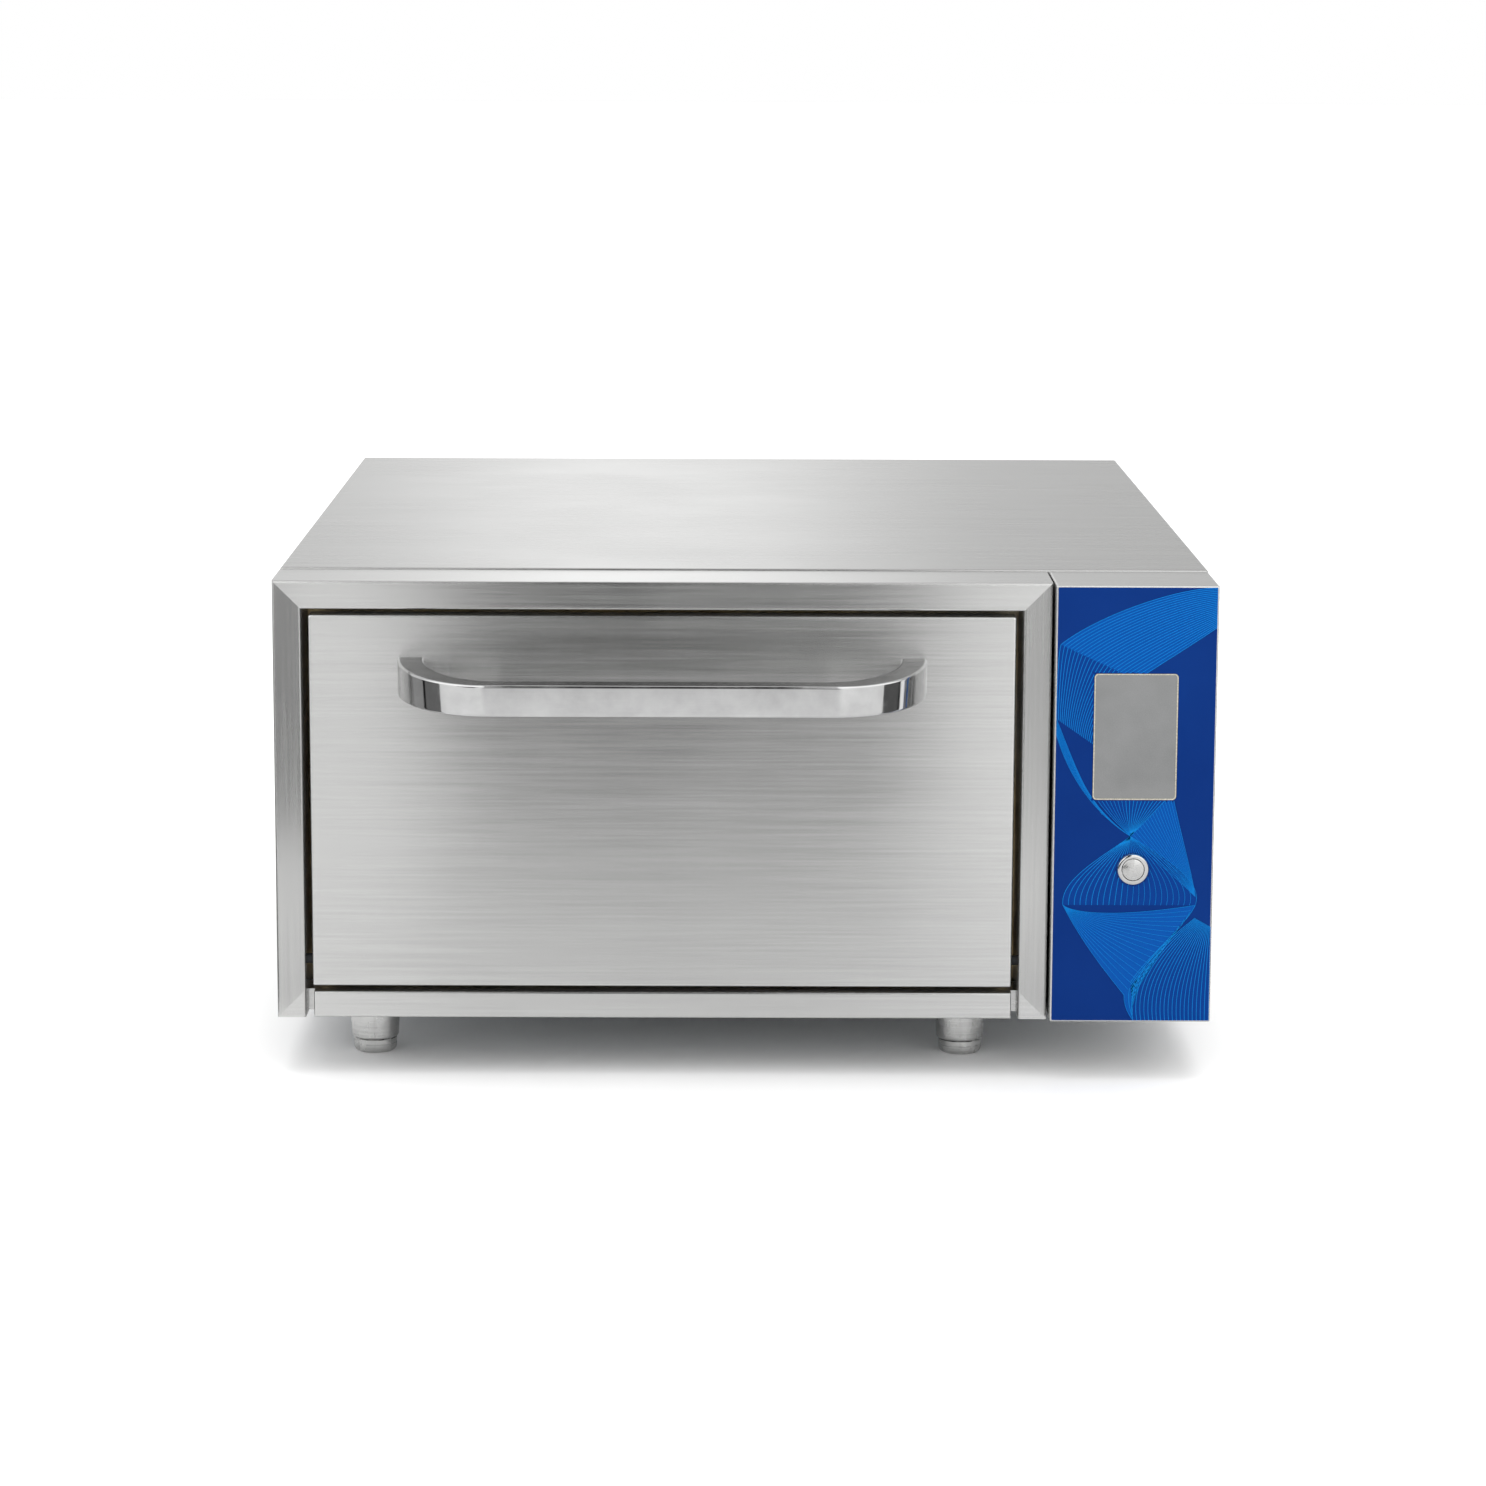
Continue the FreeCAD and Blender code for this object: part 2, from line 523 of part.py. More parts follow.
def mouth_plate():
    """Four welded strips behind the door that carry the seal and close the gap round the chamber's mouth."""
    depth = (REVEAL_DEPTH, MOUTH_Y)
    wide = (IN_LEFT, BEZEL_RIGHT - SHEET)
    below = block(wide, depth, (SHEET, CHAMBER_FLOOR))
    above = block(wide, depth, (CHAMBER_ROOF, CASE_HEIGHT - SHEET))
    left = block((wide[0], CHAMBER_LEFT), depth, (CHAMBER_FLOOR, CHAMBER_ROOF))
    right = block((CHAMBER_RIGHT, wide[1]), depth, (CHAMBER_FLOOR, CHAMBER_ROOF))
    return [below, above, left, right]


def chamber_liner():
    """Baking chamber: five stainless sheets seam-welded along their edges, open to the front."""
    depth = (MOUTH_Y, LINER_BACK)
    across = (CHAMBER_LEFT - LINER, CHAMBER_RIGHT + LINER)
    floor = block(across, depth, (CHAMBER_FLOOR - LINER, CHAMBER_FLOOR))
    roof = block(across, depth, (CHAMBER_ROOF, CHAMBER_ROOF + LINER))
    left = block((across[0], CHAMBER_LEFT), depth, (CHAMBER_FLOOR, CHAMBER_ROOF))
    right = block((CHAMBER_RIGHT, across[1]), depth, (CHAMBER_FLOOR, CHAMBER_ROOF))
    back = block((CHAMBER_LEFT, CHAMBER_RIGHT), (CHAMBER_BACK, LINER_BACK), (CHAMBER_FLOOR, CHAMBER_ROOF))
    flue = flue_passage(FLUE_RADIUS - DUCT_WALL, CHAMBER_BACK - 1, LINER_BACK + 1)
    return [floor, roof, left, right, back.cut([flue] + rear_passages(HOLE_CLEAR))]


def chamber_insulation():
    """Mineral-wool slabs against the chamber's floor, roof, sides and back."""
    low = CHAMBER_FLOOR - LINER
    high = CHAMBER_ROOF + LINER
    left = CHAMBER_LEFT - LINER
    right = CHAMBER_RIGHT + LINER
    across = (IN_LEFT + FLANGE + INSULATION_FREE, PARTITION_X)
    floor = block(across, (MOUTH_Y, BULKHEAD_Y), (SHEET, low))
    floor = floor.cut(block(across, (MOUTH_Y - 1, SILL_BACK + 60), (SHEET - 1, SHEET + STUD_ROOM)))
    floor = floor.cut([rod(STUD_ROOM, (x, y, 0), (x, y, SHEET + STUD_ROOM)) for x in FOOT_X for y in FOOT_Y])
    roof = block(across, (BEZEL_DEPTH + SHEET, BULKHEAD_Y), (high, high + INSULATION_TOP))
    left_side = block((across[0], left), (MOUTH_Y, BULKHEAD_Y), (low, high))
    right_side = block((right, across[1]), (MOUTH_Y, BULKHEAD_Y), (low, high))
    back = block((left, right), (LINER_BACK, BULKHEAD_Y), (low, high))
    back = back.cut(rear_passages(0.5) + [flue_passage(FLUE_RADIUS + 0.5, LINER_BACK - 1, BULKHEAD_Y + 1)])
    return [floor, roof, left_side, right_side, back]


def insulation_bulkhead():
    """Sheet behind the rear wool that carries the element tails, the probe and the damper motor."""
    plate = block((IN_LEFT + FIT, PARTITION_X), (BULKHEAD_Y, BULKHEAD_Y + SHEET), (SHEET, CASE_HEIGHT - LIP))
    plate = plate.cut(block((IN_LEFT, IN_LEFT + SHEET + FIT), (BULKHEAD_Y - 1, BULKHEAD_Y + 3), (0, PAN_FLANGE + FIT)))
    return plate.cut(rear_passages(HOLE_CLEAR) + [flue_passage(FLUE_RADIUS + HOLE_CLEAR, BULKHEAD_Y - 1, BULKHEAD_Y + 3)])


def control_partition():
    """Upright sheet between the hot side and the controls."""
    return block((PARTITION_X, PARTITION_X + SHEET), (MOUTH_Y, BULKHEAD_Y + SHEET), (SHEET, CASE_HEIGHT - LIP))


def stone_rails():
    """Two ledges in the chamber that carry the hearth stone."""
    rails = []
    for x, inward in ((CHAMBER_LEFT, 1), (CHAMBER_RIGHT, -1)):
        span = sorted((x, x + inward * RAIL_WIDTH))
        rail = block(span, (MOUTH_Y + 4, CHAMBER_BACK - 6), (CHAMBER_FLOOR, STONE_UNDERSIDE))
        void = block(sorted((x + inward * SHEET, x + inward * (RAIL_WIDTH + 1))), (MOUTH_Y, CHAMBER_BACK), (CHAMBER_FLOOR + SHEET, STONE_UNDERSIDE - SHEET))
        rails.append(rail.cut(void))
    return rails


def hearth_stone():
    """Refractory slab that the tray or the bread lies on."""
    slab = block((CHAMBER_LEFT + STONE_GAP, CHAMBER_RIGHT - STONE_GAP), (MOUTH_Y + 4, CHAMBER_BACK - 4), (STONE_UNDERSIDE, STONE_UNDERSIDE + STONE_THICKNESS))
    return round_edges(slab, 2.5, lambda e: lies_on(e, "Z", STONE_UNDERSIDE + STONE_THICKNESS))


def heating_elements(level):
    """Three hairpin tubular elements; their tails end in ceramic-bushed studs behind the bulkhead."""
    pins = []
    half = ELEMENT_LEG_GAP / 2
    for centre in element_centres():
        bend_y = ELEMENT_FRONT + half
        left_leg = Part.LineSegment(V(centre - half, ELEMENT_TAIL, level), V(centre - half, bend_y, level)).toShape()
        bend = Part.Arc(V(centre - half, bend_y, level), V(centre, ELEMENT_FRONT, level), V(centre + half, bend_y, level)).toShape()
        right_leg = Part.LineSegment(V(centre + half, bend_y, level), V(centre + half, ELEMENT_TAIL, level)).toShape()
        path = Part.Wire([left_leg, bend, right_leg])
        profile = Part.Wire(Part.makeCircle(ELEMENT_RADIUS, V(centre - half, ELEMENT_TAIL, level), V(0, -1, 0)))
        pin = path.makePipeShell([profile], True, False)
        tails = [rod(1.8, (centre + side * half, ELEMENT_TAIL, level), (centre + side * half, ELEMENT_TAIL + 9, level)) for side in (-1, 1)]
        pins.append(join(pin, *tails))
    return pins


HANGER_INSET = 80.0


def element_hangers():
    """Punched strips that carry the elements: three on the chamber's floor and three under its roof."""
    strips = []
    reach = ELEMENT_PITCH + ELEMENT_LEG_GAP / 2 + 15.0
    span = (DOOR_MIDDLE - reach, DOOR_MIDDLE + reach)
    for y in spread(ELEMENT_FRONT + HANGER_INSET, CHAMBER_BACK - HANGER_INSET, 3):
        for z in ((CHAMBER_FLOOR, LOWER_Z + 2 * ELEMENT_RADIUS), (UPPER_Z - 2 * ELEMENT_RADIUS, CHAMBER_ROOF)):
            strip = block(span, (y, y + 2.0), z)
            legs = [rod(ELEMENT_RADIUS + HOLE_CLEAR, (x, y - 1, level), (x, y + 3, level)) for x, level in element_leg_places()]
            strips.append(strip.cut(legs))
    return strips


def temperature_probe():
    """Sheathed thermocouple through the rear wall, with its hexagonal compression fitting."""
    sheath = rod(PROBE_RADIUS, (PROBE_X, CHAMBER_BACK - 70, PROBE_Z), (PROBE_X, BULKHEAD_Y + 30, PROBE_Z))
    nut = hexagon(13.0, (PROBE_X, BULKHEAD_Y + SHEET, PROBE_Z), (PROBE_X, BULKHEAD_Y + SHEET + 10, PROBE_Z))
    return join(sheath, nut)


def door_seal():
    """Four butted lengths of rounded high-temperature seal round the mouth, which the closed door bears on."""
    inner_x = (CHAMBER_LEFT - SEAL_CLEAR, CHAMBER_RIGHT + SEAL_CLEAR)
    inner_z = (CHAMBER_FLOOR - SEAL_CLEAR, CHAMBER_ROOF + SEAL_CLEAR)
    depth = (DOOR_THICKNESS + FIT, REVEAL_DEPTH)
    outer_x = (inner_x[0] - SEAL_WIDTH, inner_x[1] + SEAL_WIDTH)
    outer_z = (inner_z[0] - SEAL_WIDTH, inner_z[1] + SEAL_WIDTH)
    lengths = []
    for z in ((outer_z[0], inner_z[0]), (inner_z[1], outer_z[1])):
        lengths.append(round_edges(block(outer_x, depth, z), SEAL_ROUND, lambda e: lies_on(e, "Y", depth[0]) and runs_along(e, "X")))
    for x in ((outer_x[0], inner_x[0]), (inner_x[1], outer_x[1])):
        lengths.append(round_edges(block(x, depth, inner_z), SEAL_ROUND, lambda e: lies_on(e, "Y", depth[0]) and runs_along(e, "Z")))
    return lengths


# ---- flue and damper -----------------------------------------------------------------------------------------------
MOTOR_X = (FLUE_X + 30.0, FLUE_X + 70.0)
MOTOR_HALF = 20.0


def flue_duct():
    """Steam outlet tube from the chamber's rear wall to the rear panel, and the flanged collar that continues it outside."""
    duct = tube(FLUE_RADIUS, FLUE_RADIUS - DUCT_WALL, (FLUE_X, LINER_BACK, FLUE_Z), (FLUE_X, BACK, FLUE_Z))
    shaft = rod(DAMPER_SHAFT + PIN_RUNNING, (FLUE_X - 40, DAMPER_Y, FLUE_Z), (FLUE_X + 40, DAMPER_Y, FLUE_Z))
    spigot = tube(FLUE_RADIUS, FLUE_RADIUS - FLUE_WALL, (FLUE_X, BACK, FLUE_Z), (FLUE_X, BACK + FLUE_REACH, FLUE_Z))
    flange = tube(FLUE_RADIUS + FLUE_FLANGE, FLUE_RADIUS - FLUE_WALL, (FLUE_X, BACK, FLUE_Z), (FLUE_X, BACK + SHEET, FLUE_Z))
    return [duct.cut(shaft), join(spigot, flange)]


def damper_flap():
    """Butterfly disc on its cross shaft; the shaft enters the motor."""
    radius = FLUE_RADIUS - DUCT_WALL - DAMPER_GAP
    disc = rod(radius, (FLUE_X, DAMPER_Y - 0.7, FLUE_Z), (FLUE_X, DAMPER_Y + 0.7, FLUE_Z))
    shaft = rod(DAMPER_SHAFT, (FLUE_X - FLUE_RADIUS - 6, DAMPER_Y, FLUE_Z), (MOTOR_X[0] + 10, DAMPER_Y, FLUE_Z))
    return join(disc, shaft)


def damper_motor():
    """Small geared motor on a bracket that stands on the bulkhead."""
    box = block(MOTOR_X, (DAMPER_Y - MOTOR_HALF, DAMPER_Y + MOTOR_HALF), (FLUE_Z - MOTOR_HALF, FLUE_Z + MOTOR_HALF))
    box = round_edges(box, 2.0, lambda e: runs_along(e, "X"))
    can = rod(14.0, (MOTOR_X[1], DAMPER_Y, FLUE_Z - 4), (MOTOR_X[1] + 22, DAMPER_Y, FLUE_Z - 4))
    plate_x = (MOTOR_X[0] - SHEET, MOTOR_X[0])
    plate = block(plate_x, (BULKHEAD_Y + SHEET, DAMPER_Y + MOTOR_HALF), (FLUE_Z - MOTOR_HALF, FLUE_Z + MOTOR_HALF))
    foot = block((MOTOR_X[0], MOTOR_X[0] + 20), (BULKHEAD_Y + SHEET, BULKHEAD_Y + 2 * SHEET), (FLUE_Z - MOTOR_HALF, FLUE_Z + MOTOR_HALF))
    bore = rod(DAMPER_SHAFT + PIN_RUNNING, (plate_x[0] - 1, DAMPER_Y, FLUE_Z), (MOTOR_X[0] + 10.3, DAMPER_Y, FLUE_Z))
    return join(box, can, plate, foot).cut(bore)


# ---- hinges --------------------------------------------------------------------------------------------------------
BRACKET_HALF = 16.0
BLOCK_LENGTH = 22.0


def hinge_bore(radius):
    """Cylinder across the whole front on the door's pivot line."""
    return rod(radius, (LEFT + SHEET + 1, HINGE_Y, HINGE_Z), (BEZEL_RIGHT - SHEET - 1, HINGE_Y, HINGE_Z))


def hinge_sides():
    """For each side: the stile's hollow (outer, inner) and the door's edge, then the way into the door."""
    left = (LEFT + SHEET, OPEN_LEFT - SHEET, DOOR_LEFT, 1)
    right = (BEZEL_RIGHT - SHEET, OPEN_RIGHT + SHEET, DOOR_RIGHT, -1)
    return left, right


def hinge_brackets():
    """Steel blocks in the stiles that hold the pivot pins."""
    blocks = []
    for outer, inner, _door, inward in hinge_sides():
        body = block(sorted((outer + inward * 2, inner)), (SHEET, 30.0), (HINGE_Z - BRACKET_HALF, HINGE_Z + BRACKET_HALF))
        blocks.append(body.cut(hinge_bore(HINGE_PIN_RADIUS + 0.02)))
    return blocks


def hinge_pins():
    """Pivot pins from the brackets across the side gaps into the door's bushes."""
    pins = []
    for outer, _inner, door, inward in hinge_sides():
        pins.append(rod(HINGE_PIN_RADIUS, (outer + inward * 3, HINGE_Y, HINGE_Z), (door + inward * (SHEET + BLOCK_LENGTH - 3), HINGE_Y, HINGE_Z)))
    return pins


def door_hinge_blocks():
    blocks = []
    for _outer, _inner, door, inward in hinge_sides():
        span = sorted((door + inward * SHEET, door + inward * (SHEET + BLOCK_LENGTH)))
        body = block(span, (SHEET, SKIN_DEPTH - SHEET), (DOOR_BOTTOM + SHEET, HINGE_Z + 20.0))
        blocks.append(body.cut(hinge_bore(BUSH_RADIUS + 0.02)))
    return blocks


def door_bushes():
    """Bronze bushes that turn on the pins."""
    bushes = []
    for _outer, _inner, door, inward in hinge_sides():
        start = (door + inward * SHEET, HINGE_Y, HINGE_Z)
        end = (door + inward * (SHEET + BLOCK_LENGTH), HINGE_Y, HINGE_Z)
        bushes.append(tube(BUSH_RADIUS, HINGE_PIN_RADIUS + PIN_RUNNING, start, end))
    return bushes


# ---- door ----------------------------------------------------------------------------------------------------------
HANDLE_SCREW_X = HANDLE_HALF - HANDLE_END_WIDTH / 2
HANDLE_SCREW_Z = HANDLE_TOP - HANDLE_END_HEIGHT / 2
HANDLE_SCREW_DEPTH = 16.0
INNER_LEFT = DOOR_LEFT + INNER_INSET
INNER_RIGHT = DOOR_RIGHT - INNER_INSET
INNER_LOW = DOOR_BOTTOM + INNER_INSET
INNER_HIGH = DOOR_TOP - INNER_INSET
PANEL_SCREW = 3.6


def handle_screw_line(side, radius, start, end):
    x = DOOR_MIDDLE + side * HANDLE_SCREW_X
    return rod(radius, (x, start, HANDLE_SCREW_Z), (x, end, HANDLE_SCREW_Z))


def door_outer_skin():
    """Folded outer tray of the door, with rounded front edges."""
    tray = block((DOOR_LEFT, DOOR_RIGHT), (0, SKIN_DEPTH), (DOOR_BOTTOM, DOOR_TOP))
    tray = round_edges(tray, FOLD_RADIUS, lambda e: lies_on(e, "Y", 0) or runs_along(e, "Y"))
    inside = block((DOOR_LEFT + SHEET, DOOR_RIGHT - SHEET), (SHEET, SKIN_DEPTH + 1), (DOOR_BOTTOM + SHEET, DOOR_TOP - SHEET))
    screws = [handle_screw_line(side, HANDLE_SCREW_RADIUS + HOLE_CLEAR, -1, SHEET + 1) for side in (-1, 1)]
    return tray.cut([inside, hinge_bore(HINGE_PIN_RADIUS + 1.5)] + screws)


def door_mid_plate():
    """Stiffening plate that closes the outer tray and carries the inner panel."""
    return block((DOOR_LEFT + SHEET, DOOR_RIGHT - SHEET), (SKIN_DEPTH - SHEET, SKIN_DEPTH), (DOOR_BOTTOM + SHEET, DOOR_TOP - SHEET))


def door_inner_panel():
    """Hot-side tray of the door, with a raised field inside the seal."""
    tray = block((INNER_LEFT, INNER_RIGHT), (SKIN_DEPTH, DOOR_THICKNESS), (INNER_LOW, INNER_HIGH))
    tray = round_edges(tray, 3.0, lambda e: lies_on(e, "Y", DOOR_THICKNESS) or runs_along(e, "Y"))
    inside = block((INNER_LEFT + SHEET, INNER_RIGHT - SHEET), (SKIN_DEPTH - 1, DOOR_THICKNESS - SHEET), (INNER_LOW + SHEET, INNER_HIGH - SHEET))
    return tray.cut(inside)


def door_insulation():
    return block((INNER_LEFT + SHEET, INNER_RIGHT - SHEET), (SKIN_DEPTH, DOOR_THICKNESS - SHEET), (INNER_LOW + SHEET, INNER_HIGH - SHEET))


def handle_outline(half, reach, radius):
    """Half-length, reach and corner radius of a D in plan, closed on the door's face."""
    middle = DOOR_MIDDLE
    mid = radius * math.sqrt(0.5)
    left = Part.Arc(V(middle - half, 0, 0), V(middle - half + radius - mid, -reach + radius - mid, 0), V(middle - half + radius, -reach, 0))
    front = Part.LineSegment(V(middle - half + radius, -reach, 0), V(middle + half - radius, -reach, 0))
    right = Part.Arc(V(middle + half - radius, -reach, 0), V(middle + half - radius + mid, -reach + radius - mid, 0), V(middle + half, 0, 0))
    back = Part.LineSegment(V(middle + half, 0, 0), V(middle - half, 0, 0))
    return Part.Face(Part.Wire([s.toShape() for s in (left, front, right, back)]))


def door_handle():
    """Bowed bar: quarter-circle ends, thicker at the door, falling slightly towards the hand."""
    rise = V(0, 0, 60)
    outer = handle_outline(HANDLE_HALF, HANDLE_REACH, HANDLE_REACH)
    inner_reach = HANDLE_REACH - HANDLE_GRIP
    inner = handle_outline(HANDLE_HALF - HANDLE_END_WIDTH, inner_reach, inner_reach)
    plan = outer.extrude(rise).cut(inner.extrude(rise))
    plan.translate(V(0, 0, HANDLE_TOP - HANDLE_END_HEIGHT - 15))
    left = DOOR_MIDDLE - HANDLE_HALF - 1
    low_end = HANDLE_TOP - HANDLE_END_HEIGHT
    top_front = HANDLE_TOP - HANDLE_DROP
    side = prism([(left, 0, HANDLE_TOP), (left, -HANDLE_REACH - 1, top_front), (left, -HANDLE_REACH - 1, top_front - HANDLE_GRIP_HEIGHT), (left, 0, low_end)],
                 (2 * HANDLE_HALF + 2, 0, 0))
    bar = plan.common(side)
    bar = round_edges(bar, HANDLE_EDGE, lambda e: not lies_on(e, "Y", 0) and e.BoundBox.ZLength < 15 and e.BoundBox.YLength + e.BoundBox.XLength > 5)
    screws = [handle_screw_line(side_, HANDLE_SCREW_RADIUS + 0.02, -HANDLE_SCREW_DEPTH, 1) for side_ in (-1, 1)]
    return bar.cut(screws)


def door_screws():
    """The handle's two screws from inside the skin, and the inner panel's six."""
    screws = []
    for side in (-1, 1):
        shank = handle_screw_line(side, HANDLE_SCREW_RADIUS, -HANDLE_SCREW_DEPTH + 1, SHEET)
        head = handle_screw_line(side, 5.0, SHEET, SHEET + 4.0)
        screws.append(join(shank, head))
    for x in (INNER_LEFT + 60, DOOR_MIDDLE, INNER_RIGHT - 60):
        for z in (INNER_LOW + 50, INNER_HIGH - 50):
            head = Part.makeCylinder(PANEL_SCREW, 2.0, V(x, DOOR_THICKNESS, z), V(0, 1, 0))
            screws.append(round_edges(head, 1.1, lambda e: lies_on(e, "Y", DOOR_THICKNESS + 2.0)))
    return screws


# ---- controls ------------------------------------------------------------------------------------------------------
RIM = 1.5                  # steel showing round the overlay
WINDOW_GAP = 0.3
BUTTON_FRONT = CONTROL_FACE - OVERLAY - BUTTON_RISE
BUTTON_BACK = 10.0
CAP_FRONT = BUTTON_FRONT - 0.4
CAP_THICKNESS = 4.0


def display_window(grow, y):
    half_w = DISPLAY_SIZE[0] / 2 + grow
    half_h = DISPLAY_SIZE[1] / 2 + grow
    return rounded_window((CONTROL_MIDDLE - half_w, CONTROL_MIDDLE + half_w), y, (DISPLAY_Z - half_h, DISPLAY_Z + half_h), DISPLAY_CORNER + grow)


def on_button_axis(radius, start, end):
    return rod(radius, (CONTROL_MIDDLE, start, BUTTON_Z), (CONTROL_MIDDLE, end, BUTTON_Z))


def control_box():
    """Front shell of the control side, proud of the bezel, with openings for the display and the button."""
    shell = block((CONTROL_LEFT, RIGHT), (CONTROL_FACE, BEZEL_DEPTH), (CONTROL_BOTTOM, CASE_HEIGHT))
    shell = round_edges(shell, 1.4, lambda e: lies_on(e, "Y", CONTROL_FACE) or runs_along(e, "Y"))
    hollow = block((CONTROL_LEFT + SHEET, IN_RIGHT), (CONTROL_FACE + SHEET, BEZEL_DEPTH + 1), (CONTROL_BOTTOM + SHEET, CASE_HEIGHT - SHEET))
    window = display_window(WINDOW_GAP, (CONTROL_FACE - 1, CONTROL_FACE + SHEET + 1))
    hole = on_button_axis(BUTTON_BODY + HOLE_CLEAR, CONTROL_FACE - 1, CONTROL_FACE + SHEET + 1)
    return shell.cut([hollow, window, hole, plug_hole(PLUG_PLACES[1])])


def control_overlay():
    """Printed front foil with a window for the display."""
    foil = rounded_window((CONTROL_LEFT + RIM, RIGHT - RIM), (CONTROL_FACE - OVERLAY, CONTROL_FACE), (CONTROL_BOTTOM + RIM, CASE_HEIGHT - RIM), 1.0)
    hole = on_button_axis(BUTTON_BODY + HOLE_CLEAR, CONTROL_FACE - 2, CONTROL_FACE + 1)
    return foil.cut([display_window(WINDOW_GAP, (CONTROL_FACE - 2, CONTROL_FACE + 1)), hole])


def display_lens():
    return display_window(0, (CONTROL_FACE - OVERLAY, CONTROL_FACE - OVERLAY + LENS))


def display_module():
    """Display panel and its circuit board on four spacers behind the front sheet."""
    panel_y = (CONTROL_FACE - OVERLAY + LENS, CONTROL_FACE + 3.5)
    panel = block((CONTROL_MIDDLE - 32, CONTROL_MIDDLE + 32), panel_y, (DISPLAY_Z - 49, DISPLAY_Z + 49))
    board = block((CONTROL_MIDDLE - 42, CONTROL_MIDDLE + 42), (CONTROL_FACE + 3.5, CONTROL_FACE + 5.1), (DISPLAY_Z - 60, DISPLAY_Z + 60))
    spacers = [rod(2.5, (CONTROL_MIDDLE + sx * 38, CONTROL_FACE + SHEET, DISPLAY_Z + sz * 56), (CONTROL_MIDDLE + sx * 38, CONTROL_FACE + 3.5, DISPLAY_Z + sz * 56))
               for sx in (-1, 1) for sz in (-1, 1)]
    chips = [block((CONTROL_MIDDLE - 20, CONTROL_MIDDLE + 6), (CONTROL_FACE + 5.1, CONTROL_FACE + 8), (DISPLAY_Z - 20, DISPLAY_Z + 6)),
             block((CONTROL_MIDDLE - 15, CONTROL_MIDDLE + 15), (CONTROL_FACE + 5.1, CONTROL_FACE + 14), (DISPLAY_Z - 55, DISPLAY_Z - 43))]
    return join(panel, board, *spacers, *chips)


def button_housing():
    """Threaded body of the push button with its polished front ring."""
    ring = on_button_axis(BUTTON_FLANGE, BUTTON_FRONT, CONTROL_FACE - OVERLAY)
    ring = ring.makeChamfer(1.2, [e for e in ring.Edges if lies_on(e, "Y", BUTTON_FRONT)])
    body = on_button_axis(BUTTON_BODY, CONTROL_FACE - OVERLAY, BUTTON_BACK)
    recess = on_button_axis(BUTTON_CAP + 0.2, BUTTON_FRONT - 1, CAP_FRONT + CAP_THICKNESS + BUTTON_TRAVEL + 0.4)
    stem = on_button_axis(3.3, BUTTON_FRONT - 1, BUTTON_BACK - 2)
    return join(ring, body).cut([recess, stem])


def button_nut():
    nut = hexagon(2 * BUTTON_BODY + 5.0, (CONTROL_MIDDLE, CONTROL_FACE + SHEET, BUTTON_Z), (CONTROL_MIDDLE, CONTROL_FACE + SHEET + 4.5, BUTTON_Z))
    return nut.cut(on_button_axis(BUTTON_BODY + 0.02, CONTROL_FACE, CONTROL_FACE + 10))


def button_cap():
    """Flat round actuator with its stem."""
    cap = on_button_axis(BUTTON_CAP, CAP_FRONT, CAP_FRONT + CAP_THICKNESS)
    cap = round_edges(cap, 0.5, lambda e: lies_on(e, "Y", CAP_FRONT))
    return join(cap, on_button_axis(3.0, CAP_FRONT + CAP_THICKNESS, BUTTON_BACK - 6))


BOARD_X = PARTITION_X + SHEET + 8.0
BOARD_Y = (150.0, 390.0)
BOARD_Z = (100.0, 290.0)


def controller_board():
    """Main circuit board on spacers, with its transformer, relays, connectors and capacitors."""
    board = block((BOARD_X, BOARD_X + 1.6), BOARD_Y, BOARD_Z)
    face = BOARD_X + 1.6
    corners = [(y, z) for y in (BOARD_Y[0] + 8, BOARD_Y[1] - 8) for z in (BOARD_Z[0] + 8, BOARD_Z[1] - 8)]
    spacers = [rod(3.0, (PARTITION_X + SHEET, y, z), (BOARD_X, y, z)) for y, z in corners]
    transformer = block((face, face + 34), (170, 222), (225, 270))
    relays = [block((face, face + 16), (170 + 26 * k, 190 + 26 * k), (115, 144)) for k in range(6)]
    sockets = [block((face, face + 11), (255 + 42 * k, 291 + 42 * k), (262, 274)) for k in range(3)]
    capacitors = [rod(8.0, (face, 250 + 24 * k, 190), (face + 22, 250 + 24 * k, 190)) for k in range(3)]
    processor = block((face, face + 2.5), (330, 352), (200, 222))
    return join(board, *spacers, transformer, *relays, *sockets, *capacitors, processor)


RAIL_Y = (430.0, 640.0)
RAIL_Z = 150.0
RAIL_X = PARTITION_X + SHEET


def din_rail():
    """Top-hat mounting rail for the contactors."""
    back = block((RAIL_X, RAIL_X + 1), RAIL_Y, (RAIL_Z - 12.5, RAIL_Z + 12.5))
    webs = [block((RAIL_X, RAIL_X + 7.5), RAIL_Y, z) for z in ((RAIL_Z - 13.5, RAIL_Z - 12.5), (RAIL_Z + 12.5, RAIL_Z + 13.5))]
    lips = [block((RAIL_X + 6.5, RAIL_X + 7.5), RAIL_Y, z) for z in ((RAIL_Z - 17.5, RAIL_Z - 13.5), (RAIL_Z + 13.5, RAIL_Z + 17.5))]
    return join(back, *webs, *lips)


def contactors():
    """Two contactors and a safety cut-out clipped on the rail."""
    units = []
    front = RAIL_X + 7.5
    for k in range(3):
        y = 445.0 + 55.0 * k
        body = block((front, front + 62), (y, y + 45), (RAIL_Z - 38, RAIL_Z + 38))
        terminals = [rod(3.5, (front + 44, y + 9 + 13.5 * n, RAIL_Z + side * 32), (front + 64, y + 9 + 13.5 * n, RAIL_Z + side * 32))
                     for n in range(3) for side in (-1, 1)]
        nose = block((front + 62, front + 74), (y + 6, y + 39), (RAIL_Z - 20, RAIL_Z + 20))
        units.append(join(round_edges(body, 1.5, lambda e: runs_along(e, "X")), nose).cut(terminals))
    return units


TERMINALS_ROOM = 110.0


